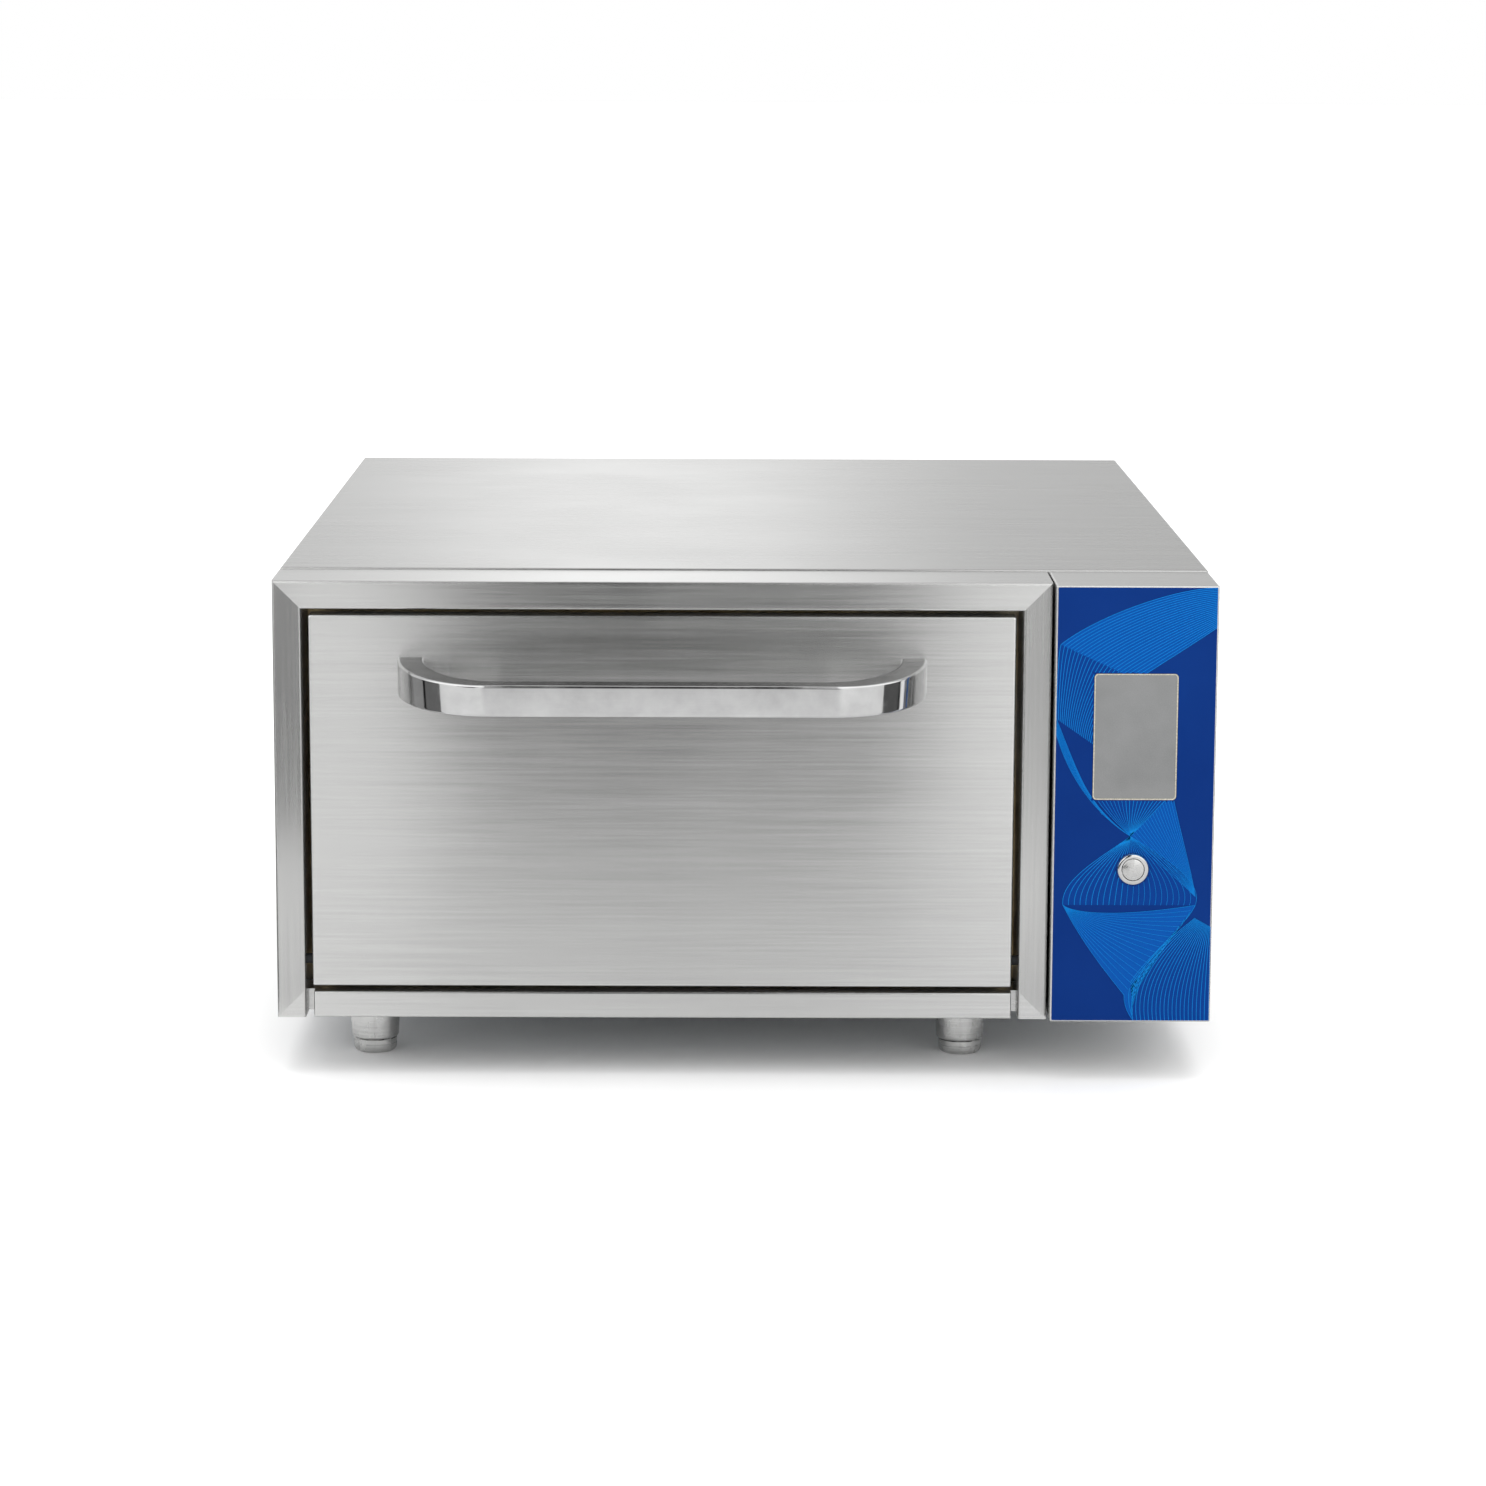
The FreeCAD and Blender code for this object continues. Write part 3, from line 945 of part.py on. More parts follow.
def terminal_block():
    """Mains terminal block beside the cable entry, standing on the base pan."""
    low_x = GLAND_X - 33.0
    front = CASE_DEPTH - TERMINALS_ROOM
    base = block((low_x, low_x + 66), (front, front + 45), (SHEET, 34))
    entries = [low_x + 4 + 12 * k for k in range(5)]
    slots = [block((x, x + 8), (front - 4, front + 20), (14, 40)) for x in entries]
    screws = [rod(3.0, (x + 4, front + 32, 22), (x + 4, front + 32, 35)) for x in entries]
    return base.cut(slots + screws)


def guard_screw_places():
    offset = 35.75
    return [(FAN_X + sx * offset, FAN_Z + sz * offset) for sx in (-1, 1) for sz in (-1, 1)]


def cooling_fan_frame():
    """Square fan housing with three struts and the motor seat."""
    back = IN_BACK
    front = back - FAN_DEPTH
    half = FAN_SIZE / 2
    frame = round_edges(block((FAN_X - half, FAN_X + half), (front, back), (FAN_Z - half, FAN_Z + half)), 3.0, lambda e: runs_along(e, "Y"))
    frame = frame.cut(rod(FAN_DUCT, (FAN_X, front - 1, FAN_Z), (FAN_X, back + 1, FAN_Z)))
    frame = frame.cut([rod(1.9, (x, front - 1, z), (x, back + 1, z)) for x, z in guard_screw_places()])
    seat = tube(FAN_HUB + 1, 2.05, (FAN_X, front, FAN_Z), (FAN_X, front + 3, FAN_Z))
    struts = []
    for k in range(3):
        strut = block((FAN_X + FAN_HUB, FAN_X + FAN_DUCT + 1), (front, front + 3), (FAN_Z - 2, FAN_Z + 2))
        strut.rotate(V(FAN_X, 0, FAN_Z), V(0, 1, 0), 120 * k + 45)
        struts.append(strut)
    return join(frame, seat, *struts)


def cooling_fan_impeller():
    """Hub with seven pitched blades and its spindle."""
    front = IN_BACK - FAN_DEPTH + 3.5
    back = IN_BACK - 3.0
    hub = rod(FAN_HUB, (FAN_X, front, FAN_Z), (FAN_X, back, FAN_Z))
    hub = round_edges(hub, 1.5, lambda e: lies_on(e, "Y", back))
    spindle = rod(2.0, (FAN_X, front - 3.3, FAN_Z), (FAN_X, front, FAN_Z))
    middle = (front + back) / 2
    blades = []
    for k in range(7):
        blade = block((FAN_X + FAN_HUB - 2, FAN_X + FAN_DUCT - 2.5), (middle - 0.8, middle + 0.8), (FAN_Z - 10, FAN_Z + 10))
        blade.rotate(V(FAN_X, middle, FAN_Z), V(1, 0, 0), 38)
        blade.rotate(V(FAN_X, 0, FAN_Z), V(0, 1, 0), k * 360.0 / 7)
        blades.append(blade)
    return join(hub, spindle, *blades)


def fan_guard():
    """Welded wire finger guard: rings on two cross wires that end in screw eyes."""
    wire = 0.9
    ring_y = BACK + 3 * wire
    rings = [Part.makeTorus(r, wire, V(FAN_X, ring_y, FAN_Z), V(0, 1, 0)) for r in (10.0, 18.0, 26.0, 34.0)]
    places = guard_screw_places()
    cross = []
    for a, b in ((places[0], places[3]), (places[1], places[2])):
        cross.append(rod(wire, (a[0], BACK + 1.3 * wire, a[1]), (b[0], BACK + 1.3 * wire, b[1])))
    eyes = [tube(3.6, 1.9, (x, BACK, z), (x, BACK + 2.2, z)) for x, z in places]
    holes = [rod(1.9, (x, BACK - 1, z), (x, BACK + 6, z)) for x, z in places]
    screws = [join(rod(1.7, (x, IN_BACK - 12, z), (x, BACK + 2.2, z)), rod(3.0, (x, BACK + 2.2, z), (x, BACK + 4.2, z))) for x, z in places]
    return [join(*rings, *cross, *eyes).cut(holes)] + screws


def cable_gland():
    """Threaded cable gland with lock nut, hexagon and domed clamping nut; its bore is open for the mains cable."""
    thread = rod(GLAND_THREAD, (GLAND_X, IN_BACK - 12, GLAND_Z), (GLAND_X, BACK, GLAND_Z))
    lock = hexagon(30.0, (GLAND_X, IN_BACK - 6, GLAND_Z), (GLAND_X, IN_BACK, GLAND_Z))
    body = hexagon(30.0, (GLAND_X, BACK, GLAND_Z), (GLAND_X, BACK + 9, GLAND_Z))
    dome = rod(14.5, (GLAND_X, BACK + 9, GLAND_Z), (GLAND_X, BACK + 26, GLAND_Z))
    dome = round_edges(dome, 6.0, lambda e: lies_on(e, "Y", BACK + 26))
    bore = rod(GLAND_BORE, (GLAND_X, IN_BACK - 20, GLAND_Z), (GLAND_X, BACK + 30, GLAND_Z))
    return join(thread, lock, body, dome).cut(bore)


def wiring_harness():
    """Clipped internal cables: board to display, mains terminals to contactor, contactor to the rear elements."""
    socket = (BOARD_X + 7.0, 273.0)
    plug_z = DISPLAY_Z - 49.0
    plug_y = CONTROL_FACE + 14.0
    display = cable([(*socket, 274), (*socket, 300), (PARTITION_X + 34, 200, 318), (PARTITION_X + 56, 120, 312), (CONTROL_MIDDLE, 50, 290),
                     (CONTROL_MIDDLE, 34, 230), (CONTROL_MIDDLE, 30, plug_z), (CONTROL_MIDDLE, plug_y, plug_z)], 2.6)
    front = CASE_DEPTH - TERMINALS_ROOM
    entry = RAIL_X + 47.5
    halfway = ((GLAND_X + entry) / 2, (front - 35 + 583) / 2, 34)
    feed = cable([(GLAND_X, front, 8), (GLAND_X, front - 35, 8), halfway, (entry, 583, 80), (entry, 583, RAIL_Z - 38)], 4.0)
    leave = RAIL_X + 39.5
    over = PARTITION_X + 22.0
    roof = CASE_HEIGHT - 36.0
    heaters = cable([(leave, 520, RAIL_Z + 38), (leave, 520, 215), (over + 6, 600, roof - 14), (over, 700, roof), (over, DAMPER_Y - 32, roof + 2),
                     (over - 56, DAMPER_Y - 22, roof + 2), (FLUE_X + 80, DAMPER_Y - 10, roof - 8), (FLUE_X + 44, DAMPER_Y - 10, roof - 30)], 4.0)
    return [display, feed, heaters]


# ---- feet ----------------------------------------------------------------------------------------------------------
STUD_RADIUS = 5.0
STUD_LENGTH = 13.0
STUD_ROOM = 16.0
INSERT_GAP = 0.4
LEG_CAP = 6.0              # solid steel above the bore
STEM_SHORT = 3.0


def leg(x, y):
    """Tapered steel leg with a welded stud, its nut on the base pan, and a bore for the levelling insert."""
    profile = Part.makePolygon([V(0, 0, 0), V(LEG_TOP_RADIUS, 0, 0), V(LEG_LOW_RADIUS, 0, -LEG_LENGTH + 2),
                                V(LEG_LOW_RADIUS - 1.2, 0, -LEG_LENGTH), V(0, 0, -LEG_LENGTH), V(0, 0, 0)])
    body = Part.Face(profile).revolve(V(0, 0, 0), V(0, 0, 1), 360)
    body.translate(V(x, y, 0))
    stud = rod(STUD_RADIUS, (x, y, 0), (x, y, STUD_LENGTH))
    bore = rod(INSERT_STEM + PIN_RUNNING, (x, y, -LEG_LENGTH - 1), (x, y, -LEG_CAP))
    nut = Part.makeCylinder(9.0, 7.0, V(x, y, SHEET)).cut(rod(STUD_RADIUS + 0.02, (x, y, 0), (x, y, 20)))
    return [join(body, stud).cut(bore), nut]


def insert(x, y):
    """Screw-out levelling foot: a stem and a rounded steel pad."""
    pad = Part.makeCylinder(INSERT_RADIUS, FOOT_HEIGHT - LEG_LENGTH - INSERT_GAP, V(x, y, -FOOT_HEIGHT))
    pad = round_edges(pad, 4.0, lambda e: lies_on(e, "Z", -FOOT_HEIGHT))
    stem = rod(INSERT_STEM, (x, y, -LEG_LENGTH - INSERT_GAP), (x, y, -LEG_CAP - STEM_SHORT))
    return join(pad, stem)


# ---- build ---------------------------------------------------------------------------------------------------------
os.makedirs("parts", exist_ok=True)

save("base_pan", base_pan().cut(plug_hole(PLUG_PLACES[2])))
save("left_side_panel", side_panel(-1))
save("right_side_panel", right_side_panel())
save("rear_panel", rear_panel())
save("top_cover", top_cover())
save("bezel_top_rail", top_rail())
save("bezel_left_stile", stile(LEFT, 1))
save("bezel_right_stile", stile(BEZEL_RIGHT, -1))
save("bezel_bottom_corners", bottom_corner(LEFT, 1), bottom_corner(BEZEL_RIGHT, -1))
save("sill_channel", sill_channel())
save("lower_apron", lower_apron())
save("casing_screws", *casing_screws())
save("base_plugs", *base_plugs())

save("mouth_plate", *mouth_plate())
save("chamber_liner", *chamber_liner())
save("chamber_insulation", *chamber_insulation())
save("insulation_bulkhead", insulation_bulkhead())
save("control_partition", control_partition())
save("stone_rails", *stone_rails())
save("hearth_stone", hearth_stone())
save("lower_heating_elements", *heating_elements(LOWER_Z))
save("upper_heating_elements", *heating_elements(UPPER_Z))
save("element_hangers", *element_hangers())
save("temperature_probe", temperature_probe())
save("door_seal", *door_seal())
save("flue_duct", *flue_duct())
save("damper_flap", damper_flap())
save("damper_motor", damper_motor())

save("hinge_brackets", *hinge_brackets())
save("hinge_pins", *hinge_pins())
save("door_hinge_blocks", *door_hinge_blocks())
save("door_bushes", *door_bushes())
save("door_outer_skin", door_outer_skin())
save("door_mid_plate", door_mid_plate())
save("door_inner_panel", door_inner_panel())
save("door_insulation", door_insulation())
save("door_handle", door_handle())
save("door_screws", *door_screws())

save("control_box", control_box())
save("control_overlay", control_overlay())
save("display_lens", display_lens())
save("display_module", display_module())
save("button_housing", button_housing())
save("button_nut", button_nut())
save("button_cap", button_cap())
save("controller_board", controller_board())
save("din_rail", din_rail())
save("contactors", *contactors())
save("terminal_block", terminal_block())
save("cooling_fan_frame", cooling_fan_frame())
save("cooling_fan_impeller", cooling_fan_impeller())
save("fan_guard", *fan_guard())
save("cable_gland", cable_gland())
save("wiring_harness", *wiring_harness())

save("foot_legs", *[piece for x in FOOT_X for y in FOOT_Y for piece in leg(x, y)])
for side_name, foot_x in zip(("left", "right"), FOOT_X):
    for end_name, foot_y in zip(("front", "rear"), FOOT_Y):
        save("foot_insert_" + end_name + "_" + side_name, insert(foot_x, foot_y))
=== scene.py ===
import math

import bmesh
import bpy
from mathutils import Matrix, Vector


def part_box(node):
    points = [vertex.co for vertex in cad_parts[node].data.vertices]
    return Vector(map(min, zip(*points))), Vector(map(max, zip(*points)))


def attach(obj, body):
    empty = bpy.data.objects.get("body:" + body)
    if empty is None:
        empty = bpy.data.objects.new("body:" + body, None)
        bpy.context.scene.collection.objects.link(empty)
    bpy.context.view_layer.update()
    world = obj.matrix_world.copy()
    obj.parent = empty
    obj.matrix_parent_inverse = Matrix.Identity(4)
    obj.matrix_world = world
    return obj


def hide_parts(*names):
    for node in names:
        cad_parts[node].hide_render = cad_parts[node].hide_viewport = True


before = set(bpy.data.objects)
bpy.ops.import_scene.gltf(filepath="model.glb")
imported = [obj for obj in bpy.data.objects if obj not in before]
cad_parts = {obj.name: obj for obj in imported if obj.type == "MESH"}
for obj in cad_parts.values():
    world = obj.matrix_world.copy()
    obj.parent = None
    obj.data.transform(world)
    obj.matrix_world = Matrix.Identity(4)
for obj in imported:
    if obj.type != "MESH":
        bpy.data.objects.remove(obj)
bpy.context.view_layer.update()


# ---- Casing sheet --------------------------------------------------------------------------------------------------
# The lid, sides, back, bezel and apron are folded from 1.5 mm stainless steel, belt-brushed along their length before
# folding, then spot-welded or screwed together. The grain spreads each highlight across itself and leaves it sharp along.

def linear(code):
    """Linear RGBA of an sRGB hex colour."""
    channels = [int(code[k:k + 2], 16) / 255 for k in (0, 2, 4)]
    return tuple(c / 12.92 if c <= 0.04045 else ((c + 0.055) / 1.055) ** 2.4 for c in channels) + (1.0,)


def add(tree, kind, links=None, **settings):
    """Adds a node with its settings; each link is a socket, or a value for an unlinked input."""
    made = tree.nodes.new(kind)
    for name, value in settings.items():
        setattr(made, name, value)
    for key, value in (links or {}).items():
        if isinstance(value, bpy.types.NodeSocket):
            tree.links.new(value, made.inputs[key])
        else:
            made.inputs[key].default_value = value
    return made


def start_material(name, code, metallic, roughness, **sockets):
    """A material with its Principled shader's uniform values set; returns it with its tree and shader."""
    material = bpy.data.materials.new(name)
    material.use_nodes = True
    tree = material.node_tree
    shader = tree.nodes["Principled BSDF"]
    shader.inputs["Base Color"].default_value = linear(code)
    shader.inputs["Metallic"].default_value = metallic
    shader.inputs["Roughness"].default_value = roughness
    for key, value in sockets.items():
        shader.inputs[key.replace("_", " ")].default_value = value
    return material, tree, shader


def pattern(tree, scale, detail=3.0, rough=0.6, turn=(0, 0, 0)):
    """Noise on the piece's own coordinates, in cycles per metre along each axis."""
    place = add(tree, "ShaderNodeTexCoord")
    mapped = add(tree, "ShaderNodeMapping", {"Vector": place.outputs["Object"], "Scale": scale, "Rotation": turn})
    links = {"Vector": mapped.outputs[0], "Scale": 1.0, "Detail": detail, "Roughness": rough}
    return add(tree, "ShaderNodeTexNoise", links).outputs["Fac"]


def spread(tree, value, low, high, start=0.3, end=0.7):
    """Maps a pattern's middle range onto low..high."""
    links = {"Value": value, "From Min": start, "From Max": end, "To Min": low, "To Max": high}
    return add(tree, "ShaderNodeMapRange", links).outputs[0]


def tint(tree, amount, dark, light):
    """Colour between two hex colours."""
    made = add(tree, "ShaderNodeMix", {0: amount}, data_type="RGBA")
    made.inputs[6].default_value = linear(dark)
    made.inputs[7].default_value = linear(light)
    return made.outputs[2]


def brushed_steel(name, grain, dark, light, smooth, rough, anisotropy=0.92):
    """Stainless sheet with its grain along one axis: 'X', 'Y' or 'Z'."""
    material, tree, shader = start_material(name, light, 1.0, rough, Anisotropic=anisotropy)
    along = ("X", "Y", "Z").index(grain)
    # the belt leaves lines about 0.1 mm apart; drawn at 2 mm so that they show
    fine_scale = [480.0] * 3
    fine_scale[along] = 6.0
    streak_scale = [120.0] * 3
    streak_scale[along] = 1.6
    fine = pattern(tree, fine_scale, 4.0, 0.7)
    streak = pattern(tree, streak_scale, 3.0, 0.55)
    smudge = pattern(tree, (5.0, 5.0, 5.0), 4.0, 0.55)
    lines = add(tree, "ShaderNodeMath", {0: streak, 1: 0.28, 2: fine}, operation="MULTIPLY_ADD").outputs[0]
    shade = spread(tree, lines, 0.0, 1.0, 0.44, 0.84)
    tree.links.new(tint(tree, shade, dark, light), shader.inputs["Base Color"])
    gloss = spread(tree, lines, smooth, rough, 0.44, 0.84)
    handled = spread(tree, smudge, -0.02, 0.03, 0.35, 0.7)
    total = add(tree, "ShaderNodeMath", {0: gloss, 1: handled}, operation="ADD").outputs[0]
    tree.links.new(total, shader.inputs["Roughness"])
    relief = add(tree, "ShaderNodeBump", {"Height": fine, "Strength": 0.04, "Distance": 0.0004})
    wave = pattern(tree, (7.0, 7.0, 7.0), 1.0, 0.4)
    flat = add(tree, "ShaderNodeBump", {"Height": wave, "Strength": 0.02, "Distance": 0.004, "Normal": relief.outputs[0]})
    tree.links.new(flat.outputs[0], shader.inputs["Normal"])
    # slightly off the axis, so that a face square to the grain still has a direction
    axis = [0.03, 0.02, 0.015]
    axis[along] = 1.0
    facing = add(tree, "ShaderNodeNewGeometry")
    across = add(tree, "ShaderNodeVectorMath", {0: facing.outputs["Normal"], 1: axis}, operation="CROSS_PRODUCT")
    tree.links.new(across.outputs[0], shader.inputs["Tangent"])
    return material


def finish(material, *nodes):
    """Gives CAD nodes a finish."""
    for node in nodes:
        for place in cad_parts[node].material_slots:
            place.material = material


# The four copies are one steel; besides the grain, their base colours differ to follow how each face is lit, lightest
# on the door and bezel front, darkest on the lid, back and stiles: painted light and shade.
lengthwise_steel = brushed_steel("brushed_stainless_lengthwise", "X", "a6a6a5", "b5b5b4", 0.23, 0.28)
front_steel = brushed_steel("brushed_stainless_front", "X", "b3b3b2", "c0c0bf", 0.21, 0.25)
upright_steel = brushed_steel("brushed_stainless_upright", "Z", "aaaaa9", "b6b6b5", 0.23, 0.27)
side_steel = brushed_steel("brushed_stainless_side", "Y", "adadac", "bcbcbb", 0.24, 0.30)
finish(lengthwise_steel, "top_cover", "rear_panel", "sill_channel")
finish(front_steel, "bezel_top_rail", "bezel_bottom_corners", "lower_apron", "door_outer_skin", "control_box")
finish(upright_steel, "bezel_left_stile", "bezel_right_stile")
finish(side_steel, "left_side_panel", "right_side_panel")


# ---- Galvanised inner sheet ----------------------------------------------------------------------------------------
# The base pan, the partition, the bulkhead, the door's mid plate and small brackets are hot-dip galvanised mild steel,
# left bare. The zinc freezes in flakes a few millimetres wide, each reflecting a little differently.

galvanised, tree, shader = start_material("galvanised_sheet", "a3a7aa", 1.0, 0.45)
place = add(tree, "ShaderNodeTexCoord")
flakes = add(tree, "ShaderNodeTexVoronoi", {"Vector": place.outputs["Object"], "Scale": 170.0})
grey = add(tree, "ShaderNodeSeparateColor", {0: flakes.outputs["Color"]}).outputs[0]
tree.links.new(tint(tree, grey, "8f9396", "b4b8ba"), shader.inputs["Base Color"])
tree.links.new(spread(tree, grey, 0.32, 0.55, 0.0, 1.0), shader.inputs["Roughness"])
relief = add(tree, "ShaderNodeBump", {"Height": grey, "Strength": 0.15, "Distance": 0.0003})
tree.links.new(relief.outputs[0], shader.inputs["Normal"])
finish(galvanised, "base_pan", "insulation_bulkhead", "control_partition", "door_mid_plate", "din_rail")

# The hinge's brackets, blocks and pins are drawn near black with a fine speckle: painted shade for the gap they sit in
# beside the door.
hinge_painted_shade, tree, shader = start_material("hinge_steel_painted_shade", "1d1e1f", 0.6, 0.6)
fine_speckle = pattern(tree, (1400.0, 1400.0, 1400.0), 3.0)
tree.links.new(tint(tree, spread(tree, fine_speckle, 0.0, 1.0), "141516", "2b2c2d"), shader.inputs["Base Color"])
tree.links.new(spread(tree, fine_speckle, 0.5, 0.75), shader.inputs["Roughness"])
finish(hinge_painted_shade, "hinge_brackets", "door_hinge_blocks", "hinge_pins")


# ---- Screws --------------------------------------------------------------------------------------------------------
# The rear panel is held by zinc-plated cross-recess pan-head screws, four up each side and four along the bottom edge.
# Four more hold the sill channel from below. Every head is the same pressing.

zinc, tree, shader = start_material("zinc_plated_steel", "b9bab4", 1.0, 0.3)
bloom = pattern(tree, (900.0, 900.0, 900.0), 3.0)
tree.links.new(tint(tree, spread(tree, bloom, 0.0, 1.0), "9d9f97", "c6c7c2"), shader.inputs["Base Color"])
tree.links.new(spread(tree, bloom, 0.22, 0.45), shader.inputs["Roughness"])

HEAD_RADIUS = 0.004
HEAD_HEIGHT = 0.0022


def piece(name, mesh, body, slot, *materials):
    """A shown object at the origin that rides on a body."""
    made = bpy.data.objects.new(name, mesh)
    bpy.context.scene.collection.objects.link(made)
    for material in materials:
        mesh.materials.append(material)
    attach(made, body)
    return made


def lathe(name, profile, centre, axis, steps=64, smooth=35):
    """Closed turned mesh: (radius, distance along the axis) pairs spun round an axis through the centre."""
    work = bmesh.new()
    turn = Vector((0, 0, 1)).rotation_difference(Vector(axis)).to_matrix().to_4x4()
    place = Matrix.Translation(Vector(centre)) @ turn
    rings = []
    for radius, height in profile:
        if radius < 1e-7:
            rings.append([work.verts.new(place @ Vector((0, 0, height)))])
            continue
        angles = [2 * math.pi * k / steps for k in range(steps)]
        rings.append([work.verts.new(place @ Vector((radius * math.cos(a), radius * math.sin(a), height))) for a in angles])
    pairs = list(zip(rings, rings[1:]))
    if len(rings[0]) > 1 and len(rings[-1]) > 1:
        pairs.append((rings[-1], rings[0]))
    for lower, upper in pairs:
        for k in range(steps):
            following = (k + 1) % steps
            corners = [lower[k % len(lower)], lower[following % len(lower)], upper[following % len(upper)], upper[k % len(upper)]]
            work.faces.new(list(dict.fromkeys(corners)))
    bmesh.ops.recalc_face_normals(work, faces=work.faces)
    for face in work.faces:
        face.smooth = True
    mesh = bpy.data.meshes.new(name)
    work.to_mesh(mesh)
    work.free()
    mesh.set_sharp_from_angle(angle=math.radians(smooth))
    return mesh


head_profile = [(0.0, 0.0), (HEAD_RADIUS, 0.0), (HEAD_RADIUS, 0.0006), (0.0036, 0.0014), (0.0026, 0.0020), (0.0012, HEAD_HEIGHT), (0.0, HEAD_HEIGHT)]
head = bpy.data.objects.new("screw_head", lathe("screw_head", head_profile, (0, 0, 0), (0, 0, 1), 28))
bpy.context.scene.collection.objects.link(head)
cutter_mesh = bpy.data.meshes.new("cross_recess")
work = bmesh.new()
for size in ((0.0052, 0.0011, 0.0026), (0.0011, 0.0052, 0.0026)):
    bmesh.ops.create_cube(work, size=1.0, matrix=Matrix.Translation((0, 0, HEAD_HEIGHT)) @ Matrix.Diagonal((*size, 1)))
work.to_mesh(cutter_mesh)
work.free()
cutter = bpy.data.objects.new("cross_recess", cutter_mesh)
bpy.context.scene.collection.objects.link(cutter)
recess = head.modifiers.new("recess", "BOOLEAN")
recess.operation = "DIFFERENCE"
recess.object = cutter
recess.use_self = True


def socket_of(tree, name):
    return next(item.identifier for item in tree.interface.items_tree if item.name == name and item.in_out == "INPUT")


def new_tree(name, *inputs):
    """An empty geometry tree with named inputs and a geometry output; returns it with its input node."""
    tree = bpy.data.node_groups.new(name, "GeometryNodeTree")
    for label, kind in inputs:
        tree.interface.new_socket(label, in_out="INPUT", socket_type="NodeSocket" + kind)
    tree.interface.new_socket("Geometry", in_out="OUTPUT", socket_type="NodeSocketGeometry")
    return tree, add(tree, "NodeGroupInput")


def close_tree(tree, geometry, material):
    """Realises the instances, sets the material and ends the tree."""
    real = add(tree, "GeometryNodeRealizeInstances", {"Geometry": geometry})
    painted = add(tree, "GeometryNodeSetMaterial", {"Geometry": real.outputs[0], "Material": material})
    add(tree, "NodeGroupOutput", {"Geometry": painted.outputs[0]})


def grow(tree, name, values):
    """Runs a tree with its inputs set and returns the plain mesh it makes."""
    carrier = bpy.data.objects.new(name, bpy.data.meshes.new(name))
    bpy.context.scene.collection.objects.link(carrier)
    modifier = carrier.modifiers.new(name, "NODES")
    modifier.node_group = tree
    for label, value in values.items():
        modifier[socket_of(tree, label)] = value
    seen = bpy.context.evaluated_depsgraph_get()
    mesh = bpy.data.meshes.new_from_object(carrier.evaluated_get(seen), preserve_all_data_layers=True, depsgraph=seen)
    bpy.data.objects.remove(carrier)
    return mesh


def joined(name, meshes):
    """One mesh from several that share their material list."""
    work = bmesh.new()
    for mesh in meshes:
        work.from_mesh(mesh)
    whole = bpy.data.meshes.new(name)
    work.to_mesh(whole)
    work.free()
    return whole


screw_row, given = new_tree("screw_row", ("Head", "Object"), ("First", "Vector"), ("Step", "Vector"), ("Count", "Int"), ("Tilt", "Vector"), ("Finish", "Material"))
line = add(screw_row, "GeometryNodeMeshLine", {"Count": given.outputs["Count"], "Start Location": given.outputs["First"], "Offset": given.outputs["Step"]})
source = add(screw_row, "GeometryNodeObjectInfo", {"Object": given.outputs["Head"]})
placed = add(screw_row, "GeometryNodeInstanceOnPoints", {"Points": line.outputs[0], "Instance": source.outputs["Geometry"], "Rotation": given.outputs["Tilt"]})
close_tree(screw_row, placed.outputs[0], given.outputs["Finish"])

low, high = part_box("casing_screws")
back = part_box("rear_panel")[1].y
side_x = high.x - HEAD_RADIUS
upright_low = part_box("rear_panel")[0].z + 0.040
upright_step = 0.090
below_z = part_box("sill_channel")[0].z
sill_y = low.y + HEAD_RADIUS
opening = (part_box("sill_channel")[0].x + 0.0215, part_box("sill_channel")[1].x - 0.0215)
backward = (-math.pi / 2, 0.0, 0.0)
rows = [
    {"First": (side_x, back, upright_low), "Step": (0, 0, upright_step), "Count": 4, "Tilt": backward},
    {"First": (-side_x, back, upright_low), "Step": (0, 0, upright_step), "Count": 4, "Tilt": backward},
    {"First": (-0.250, back, 0.060), "Step": (0.5 / 3, 0, 0), "Count": 4, "Tilt": backward},
    {"First": (opening[0], sill_y, below_z), "Step": ((opening[1] - opening[0]) / 3, 0, 0), "Count": 4, "Tilt": (math.pi, 0.0, 0.0)},
]
grown = [grow(screw_row, "screws", {"Head": head, "Finish": zinc, **row}) for row in rows]
screws = piece("casing_screw_heads", joined("casing_screw_heads", grown), "casing", "zinc_screws", zinc)
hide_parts("casing_screws")
bpy.data.objects.remove(head)
bpy.data.objects.remove(cutter)
finish(zinc, "door_screws", "button_nut", "fan_guard")


# ---- Feet ----------------------------------------------------------------------------------------------------------
# Each leg is a tapered stainless turning on a stud through the base pan. A rounded foot screws in and out of it to level
# the oven, which leaves a groove between the two. Both are fine-turned, so the light stands in upright bands.

turned, tree, shader = start_material("turned_stainless", "cacac9", 1.0, 0.22, Anisotropic=0.85)
rings = pattern(tree, (14.0, 14.0, 1900.0), 2.0)
wear = pattern(tree, (90.0, 90.0, 60.0), 4.0)
tree.links.new(tint(tree, spread(tree, rings, 0.0, 1.0), "b1b1b0", "cacac9"), shader.inputs["Base Color"])
tree.links.new(spread(tree, wear, 0.17, 0.34), shader.inputs["Roughness"])
relief = add(tree, "ShaderNodeBump", {"Height": rings, "Strength": 0.12, "Distance": 0.0002})
tree.links.new(relief.outputs[0], shader.inputs["Normal"])
facing = add(tree, "ShaderNodeNewGeometry")
around = add(tree, "ShaderNodeVectorMath", {0: (0.0, 0.0, 1.0), 1: facing.outputs["Normal"]}, operation="CROSS_PRODUCT")
upward = add(tree, "ShaderNodeVectorMath", {0: facing.outputs["Normal"], 1: around.outputs[0]}, operation="CROSS_PRODUCT")
tree.links.new(upward.outputs[0], shader.inputs["Tangent"])

